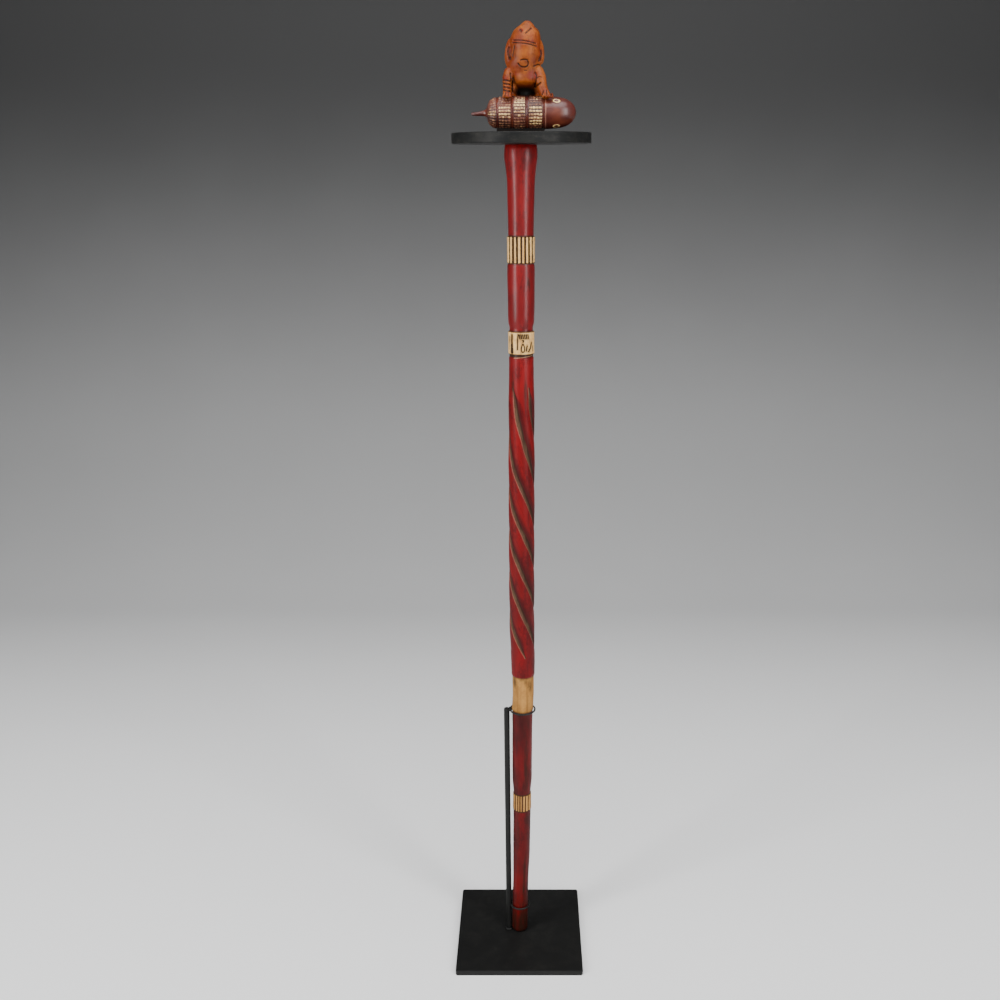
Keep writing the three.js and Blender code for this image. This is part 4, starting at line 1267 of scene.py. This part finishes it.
# Cuts seen from the front: points across and up in shares, half width and depth in mm
frontCuts = [
    # Mouth, nostrils and the marks on the throat
    ([(-0.18, 0.736), (-0.124, 0.732), (-0.05, 0.724), (0.022, 0.713), (0.14, 0.69)], 0.8, 1.5),
    ([(-0.19, 0.703), (-0.124, 0.697), (-0.036, 0.686), (0.05, 0.673), (0.15, 0.65)], 0.8, 1.5),
    ([(-0.082, 0.873), (-0.066, 0.85)], 1.5, 1.1),
    ([(0.08, 0.894), (0.036, 0.857), (0.0, 0.826)], 1.1, 1.4),
    ([(-0.073, 0.468), (-0.03, 0.474), (0.022, 0.466)], 1.0, 1.5),
    ([
        (0.026, 0.452), (0.034, 0.417), (0.008, 0.382),
        (-0.044, 0.377), (-0.087, 0.393), (-0.112, 0.422),
    ], 1.0, 1.6),
    ([(-0.025, 0.336), (0.012, 0.336)], 0.6, 0.7),
    ([(0.116, 0.388), (0.153, 0.406), (0.193, 0.417)], 0.9, 1.3),
    # Slits of the ears and the folds of the cheeks
    ([(-0.25, 0.645), (-0.262, 0.6), (-0.256, 0.545), (-0.232, 0.498)], 1.7, 2.3),
    ([(-0.164, 0.66), (-0.179, 0.592), (-0.192, 0.525)], 0.9, 0.9),
    ([(0.22, 0.6), (0.226, 0.555), (0.212, 0.51), (0.196, 0.47)], 1.5, 2.3),
    # Between the arms and the trunk, and the creases of the right arm
    ([(-0.222, 0.3), (-0.212, 0.22), (-0.206, 0.12), (-0.2, 0.055)], 1.1, 1.8),
    ([(0.13, 0.31), (0.145, 0.26), (0.14, 0.2), (0.125, 0.12)], 0.9, 1.2),
    ([(0.131, 0.121), (0.167, 0.141), (0.211, 0.168)], 1.1, 1.6),
    ([(0.15, 0.23), (0.19, 0.25), (0.225, 0.24)], 0.7, 0.8),
    # Fingers
    ([(-0.298, 0.04), (-0.305, -0.014)], 0.7, 1.0),
    ([(-0.254, 0.036), (-0.257, -0.018)], 0.7, 1.0),
    ([(-0.211, 0.04), (-0.206, -0.01)], 0.7, 1.0),
    ([(0.247, 0.06), (0.232, 0.006)], 0.8, 1.1),
    ([(0.298, 0.063), (0.3, 0.003)], 0.8, 1.1),
    ([(0.349, 0.054), (0.364, -0.003)], 0.8, 1.1),
]
# Bangles round the left forearm
frontCuts += [([(-0.335, level + 0.004), (-0.28, level - 0.004), (-0.23, level - 0.012)], 1.15, 1.6)
              for level in (0.208, 0.16, 0.112, 0.07)]
# Spine, shoulder line and hips, seen from behind
backCuts = [
    ([(0, 0.18), (0, 0.3), (0, 0.45), (0, 0.6)], 1.2, 1.0),
    ([(-0.21, 0.43), (-0.12, 0.39), (0, 0.38), (0.12, 0.39), (0.2, 0.43)], 0.9, 0.9),
    ([(-0.2, 0.2), (-0.1, 0.235), (0, 0.22), (0.1, 0.235), (0.2, 0.2)], 0.9, 0.8),
]
# Coloured patches on its front: place across and up, half width and half height, strength
redPatches = [
    (-0.283, 0.235, 0.055, 0.05, 1.0), (0.09, 0.275, 0.09, 0.08, 0.95), (-0.073, 0.86, 0.045, 0.04, 1.0),
    (0.215, 0.58, 0.035, 0.08, 0.8), (-0.26, 0.6, 0.04, 0.1, 0.5), (-0.15, 0.3, 0.06, 0.06, 0.7),
    (0.0, 0.71, 0.19, 0.03, 0.7), (-0.25, 0.02, 0.08, 0.05, 0.8), (0.0, 0.14, 0.14, 0.025, 0.6),
]
# Painted highlights on the belly, jaw, muzzle, mouth line and right arm
highlightPatches = [
    (0.0, 0.185, 0.15, 0.05, 0.9), (-0.03, 0.57, 0.12, 0.11, 0.6), (0.03, 0.82, 0.1, 0.07, 0.5),
    (0.2, 0.2, 0.06, 0.1, 0.4), (-0.02, 0.7, 0.12, 0.012, 0.9),
]
# Painted shade in the hollow under the belly, between the arms
hollowShadePatches = [(-0.015, 0.06, 0.2, 0.085, 1.0)]


def smoothPath(points, stepsEach=10):
    places = [figurePlace(across, 0, up) for across, up in points]
    path = []
    for index in range(len(places) - 1):
        before = places[max(index - 1, 0)]
        start, end = places[index], places[index + 1]
        after = places[min(index + 2, len(places) - 1)]
        for step in range(stepsEach):
            t = step / stepsEach
            path.append(0.5 * (
                2 * start + (end - before) * t + (2 * before - 5 * start + 4 * end - after) * t * t
                + (3 * start - before - 3 * end + after) * t ** 3
            ))
    return path + [places[-1]]


def cutTree(cuts):
    samples = [(spot, halfWidth, depth) for points, halfWidth, depth in cuts for spot in smoothPath(points)]
    tree = kdtree.KDTree(len(samples))
    for index, sample in enumerate(samples):
        tree.insert(sample[0], index)
    tree.balance()
    return tree, samples


def patchStrength(patches, across, up):
    strongest = 0.0
    for middle, height, halfWidth, halfHeight, strength in patches:
        away = math.hypot((across - middle) / halfWidth, (up - height) / halfHeight)
        strongest = max(strongest, strength * (1 - smoothStep(0.45, 1.2, away)))
    return strongest


def carveFigure(piece):
    front, back = cutTree(frontCuts), cutTree(backCuts)
    size = figure["height"]
    moves = []
    fields = {name: [] for name in ("cut", "redPatch", "paintedHighlight", "hollowShade")}
    for vertex in piece.data.vertices:
        co, normal = vertex.co, vertex.normal
        facesFront = smoothStep(0.25, -0.1, normal.y)
        tree, samples = front if normal.y < 0.1 else back
        _, index, away = tree.find(Vector((co.x, 0, co.z)))
        _, halfWidth, depth = samples[index]
        seen = facesFront if normal.y < 0.1 else smoothStep(0.1, 0.4, normal.y)
        cut = (1 - smoothStep(halfWidth * 0.3, halfWidth * 1.5, away)) * seen
        across, up = (co.x - figure["side"]) / size, (co.z - figure["base"]) / size
        fields["cut"].append(cut)
        fields["redPatch"].append(patchStrength(redPatches, across, up) * facesFront)
        fields["paintedHighlight"].append(patchStrength(highlightPatches, across, up) * facesFront)
        behindArms = smoothStep(-0.16, -0.1, co.y / size)
        fields["hollowShade"].append(patchStrength(hollowShadePatches, across, up) * behindArms)
        chisel = noise.noise(co / 5) * 0.25 + noise.noise(co / 1.9) * 0.07
        moves.append(normal * (chisel - cut * depth))
    for vertex, move in zip(piece.data.vertices, moves):
        vertex.co += move
    for name, values in fields.items():
        storeField(piece, name, values)


# The figure sits on the beast's back, so nothing of it goes below that skin
def seatFigure(piece):
    for vertex in piece.data.vertices:
        co = vertex.co
        limit = beastRadiusAt(co.x) + finial["gap"]
        away = math.hypot(co.y, co.z - beastAxis)
        if 0.01 < away < limit:
            grow = limit / away
            co.y *= grow
            co.z = beastAxis + (co.z - beastAxis) * grow


def makeFigure(material):
    deselectAll()
    piece = makeTrunk()
    editPiece(piece)
    addFigureLimbs()
    bpy.ops.mesh.select_all(action="SELECT")
    bpy.ops.mesh.normals_make_consistent(inside=False)
    bpy.ops.object.mode_set(mode="OBJECT")
    nameActive("figure_wood")
    useModifier(piece, "REMESH", mode="VOXEL", voxel_size=figure["voxel"])
    useModifier(piece, "SMOOTH", factor=0.5, iterations=5)
    carveFigure(piece)
    useModifier(piece, "SMOOTH", factor=0.4, iterations=1)
    seatFigure(piece)
    placeOnStaff(piece)
    pickUp(piece)
    bpy.ops.object.shade_smooth()
    finishPiece(piece, material, "seated_figure")


figureColors = {
    "wood": (104, 45, 9),
    "light": (144, 74, 20),
    "dark": (52, 21, 6),
    "red": (104, 14, 10),
    "cut": (36, 12, 6),
    "hollowShade": (16, 12, 6),
}


def makeFigureMaterial():
    material, tree, shader = newMaterial("orangeCarvedWood")
    color = {name: screenColor(*value) for name, value in figureColors.items()}
    grain = useGroup(tree, woodGrain, Stretch=(1.0, 1.0, 0.12), Scale=170.0, Contrast=1.8)
    cloud = noiseOf(tree, objectPlace(tree), 55.0, 4.0)
    wood = mixOf(tree, rangeOf(tree, cloud, 0.35, 0.7), color["wood"], color["light"])
    wood = mixOf(tree, rangeOf(tree, grain["Streak"], 0.5, 0.95, 0.0, 0.7), wood, color["dark"])
    # Painted highlights in the light wood colour
    wood = mixOf(tree, mathOf(tree, "MULTIPLY", fieldOf(tree, "paintedHighlight"), 0.8), wood, color["light"])
    rubbed = mathOf(tree, "MULTIPLY", patchMask(tree, 60.0, 0.4, 0.1), 0.5)
    mottle = rangeOf(tree, noiseOf(tree, objectPlace(tree), 300.0, 4.0), 0.4, 0.62, 0.25, 1.0)
    redHere = mathOf(tree, "MAXIMUM", rubbed, mathOf(tree, "MULTIPLY", fieldOf(tree, "redPatch"), mottle))
    wood = mixOf(tree, redHere, wood, color["red"])
    # Painted shade in the carved cuts and the gaps beside the arms, mottled
    worn = rangeOf(tree, mottle, 0.25, 1.0, 0.7, 0.95)
    cut = mathOf(tree, "MULTIPLY", rangeOf(tree, fieldOf(tree, "cut"), 0.1, 0.75), worn)
    wood = mixOf(tree, cut, wood, color["cut"])
    # Painted shade in the hollow under the belly
    feed(tree, shader["Base Color"], mixOf(tree, fieldOf(tree, "hollowShade"), wood, color["hollowShade"]))
    feed(tree, shader["Roughness"], rangeOf(tree, cloud, 0.3, 0.7, 0.42, 0.56, False))
    shader["Specular IOR Level"].default_value = 0.22
    bumpFrom(tree, shader, grain["Fibre"], 0.3, 0.25 * mm)
    return material


# Studio: a pale floor that curves up behind, and soft lights

studio = {
    "floorHalf": 4.0,
    "backAt": 2.4,
    "wallHeight": 3.6,
    "curveRadius": 0.9,
    "pale": (250, 250, 250),
    "backdropShadeGrey": (164, 164, 164),
    "dark": (54, 54, 54),
    "worldStrength": 0.22,
}
studioLights = [
    ("leftSoftbox", (-1.75, -1.3, 1.45), (0.6, 1.9), 52.0),
    ("rightSoftbox", (1.5, -1.5, 1.45), (0.6, 1.9), 42.0),
    ("topSoftbox", (0.1, -0.9, 3.1), (2.4, 1.8), 75.0),
    ("frontFill", (0.0, -3.2, 2.0), (2.2, 1.6), 14.0),
]


def makeFloor():
    deselectAll()
    half = studio["floorHalf"]
    bpy.ops.mesh.primitive_plane_add(size=2 * half, location=(0, studio["backAt"] - half, 0))
    floor = nameActive("studio_floor")
    applyPlace(floor)
    editPiece(floor, "EDGE")
    bpy.ops.mesh.select_all(action="DESELECT")
    bpy.ops.object.mode_set(mode="OBJECT")
    for edge in floor.data.edges:
        ends = [floor.data.vertices[index].co.y for index in edge.vertices]
        edge.select = min(ends) > studio["backAt"] - 0.1
    bpy.ops.object.mode_set(mode="EDIT")
    bpy.ops.mesh.extrude_region_move(TRANSFORM_OT_translate={"value": (0, 0, studio["wallHeight"])})
    bpy.ops.mesh.select_all(action="DESELECT")
    bpy.ops.object.mode_set(mode="OBJECT")
    for edge in floor.data.edges:
        ends = [floor.data.vertices[index].co for index in edge.vertices]
        edge.select = all(end.y > studio["backAt"] - 0.1 and end.z < 0.1 for end in ends)
    bpy.ops.object.mode_set(mode="EDIT")
    bpy.ops.mesh.bevel(offset=studio["curveRadius"], segments=24, affect="EDGES")
    bpy.ops.object.mode_set(mode="OBJECT")
    smoothPiece(floor, 60)
    material, tree, shader = newMaterial("paleFloor")
    # Pale floor that turns to a darker grey up the backdrop, a painted shade of the light falling off
    place = addNode(tree, "ShaderNodeSeparateXYZ", Vector=objectPlace(tree)).outputs
    backwards = mathOf(tree, "ADD", place[1], place[2])
    backdropShadeRise = mathOf(tree, "MULTIPLY_ADD", noiseOf(tree, objectPlace(tree), 2.0, 2.0), 0.1, backwards)
    pale, backdropShadeGrey = screenColor(*studio["pale"]), screenColor(*studio["backdropShadeGrey"])
    pale = mixOf(tree, rangeOf(tree, backdropShadeRise, 0.4, 2.6), pale, backdropShadeGrey)
    pale = mixOf(tree, rangeOf(tree, backdropShadeRise, 2.2, 4.2), pale, screenColor(*studio["dark"]))
    feed(tree, shader["Base Color"], pale)
    shader["Roughness"].default_value = 0.8
    floor.data.materials.append(material)


def makeLights():
    world = bpy.data.worlds.new("softWorld")
    world.use_nodes = True
    background = world.node_tree.nodes["Background"]
    background.inputs["Color"].default_value = (0.9, 0.92, 0.95, 1)
    background.inputs["Strength"].default_value = studio["worldStrength"]
    bpy.context.scene.world = world
    aim = Vector((0, 0, 0.85))
    for name, place, size, power in studioLights:
        deselectAll()
        bpy.ops.object.light_add(type="AREA", location=place)
        light = bpy.context.object
        light.name = name
        light.data.shape = "RECTANGLE"
        light.data.size, light.data.size_y = size
        light.data.energy = power
        light.rotation_euler = (aim - Vector(place)).to_track_quat("-Z", "Y").to_euler()


makeCamera()
makeFloor()
makeLights()
print("studio ready")
steel = makeStandMaterial("satinBlackSteel", standLook["specular"])
wireSteel = makeStandMaterial("blackWire", standLook["wireSpecular"])
makePlate(steel)
makeRod(steel)
makeRing("upper_ring_wire", "upper_ring", standLook["upperWire"], wireSteel)
makeRing("lower_ring_wire", "lower_ring", standLook["lowerWire"], wireSteel)
makeShaft(makeShaftMaterial())
makeDisc(makeDiscMaterial())
makeBeast(makeBeastMaterial(), makeBlockMaterial())
makeFigure(makeFigureMaterial())
deselectAll()
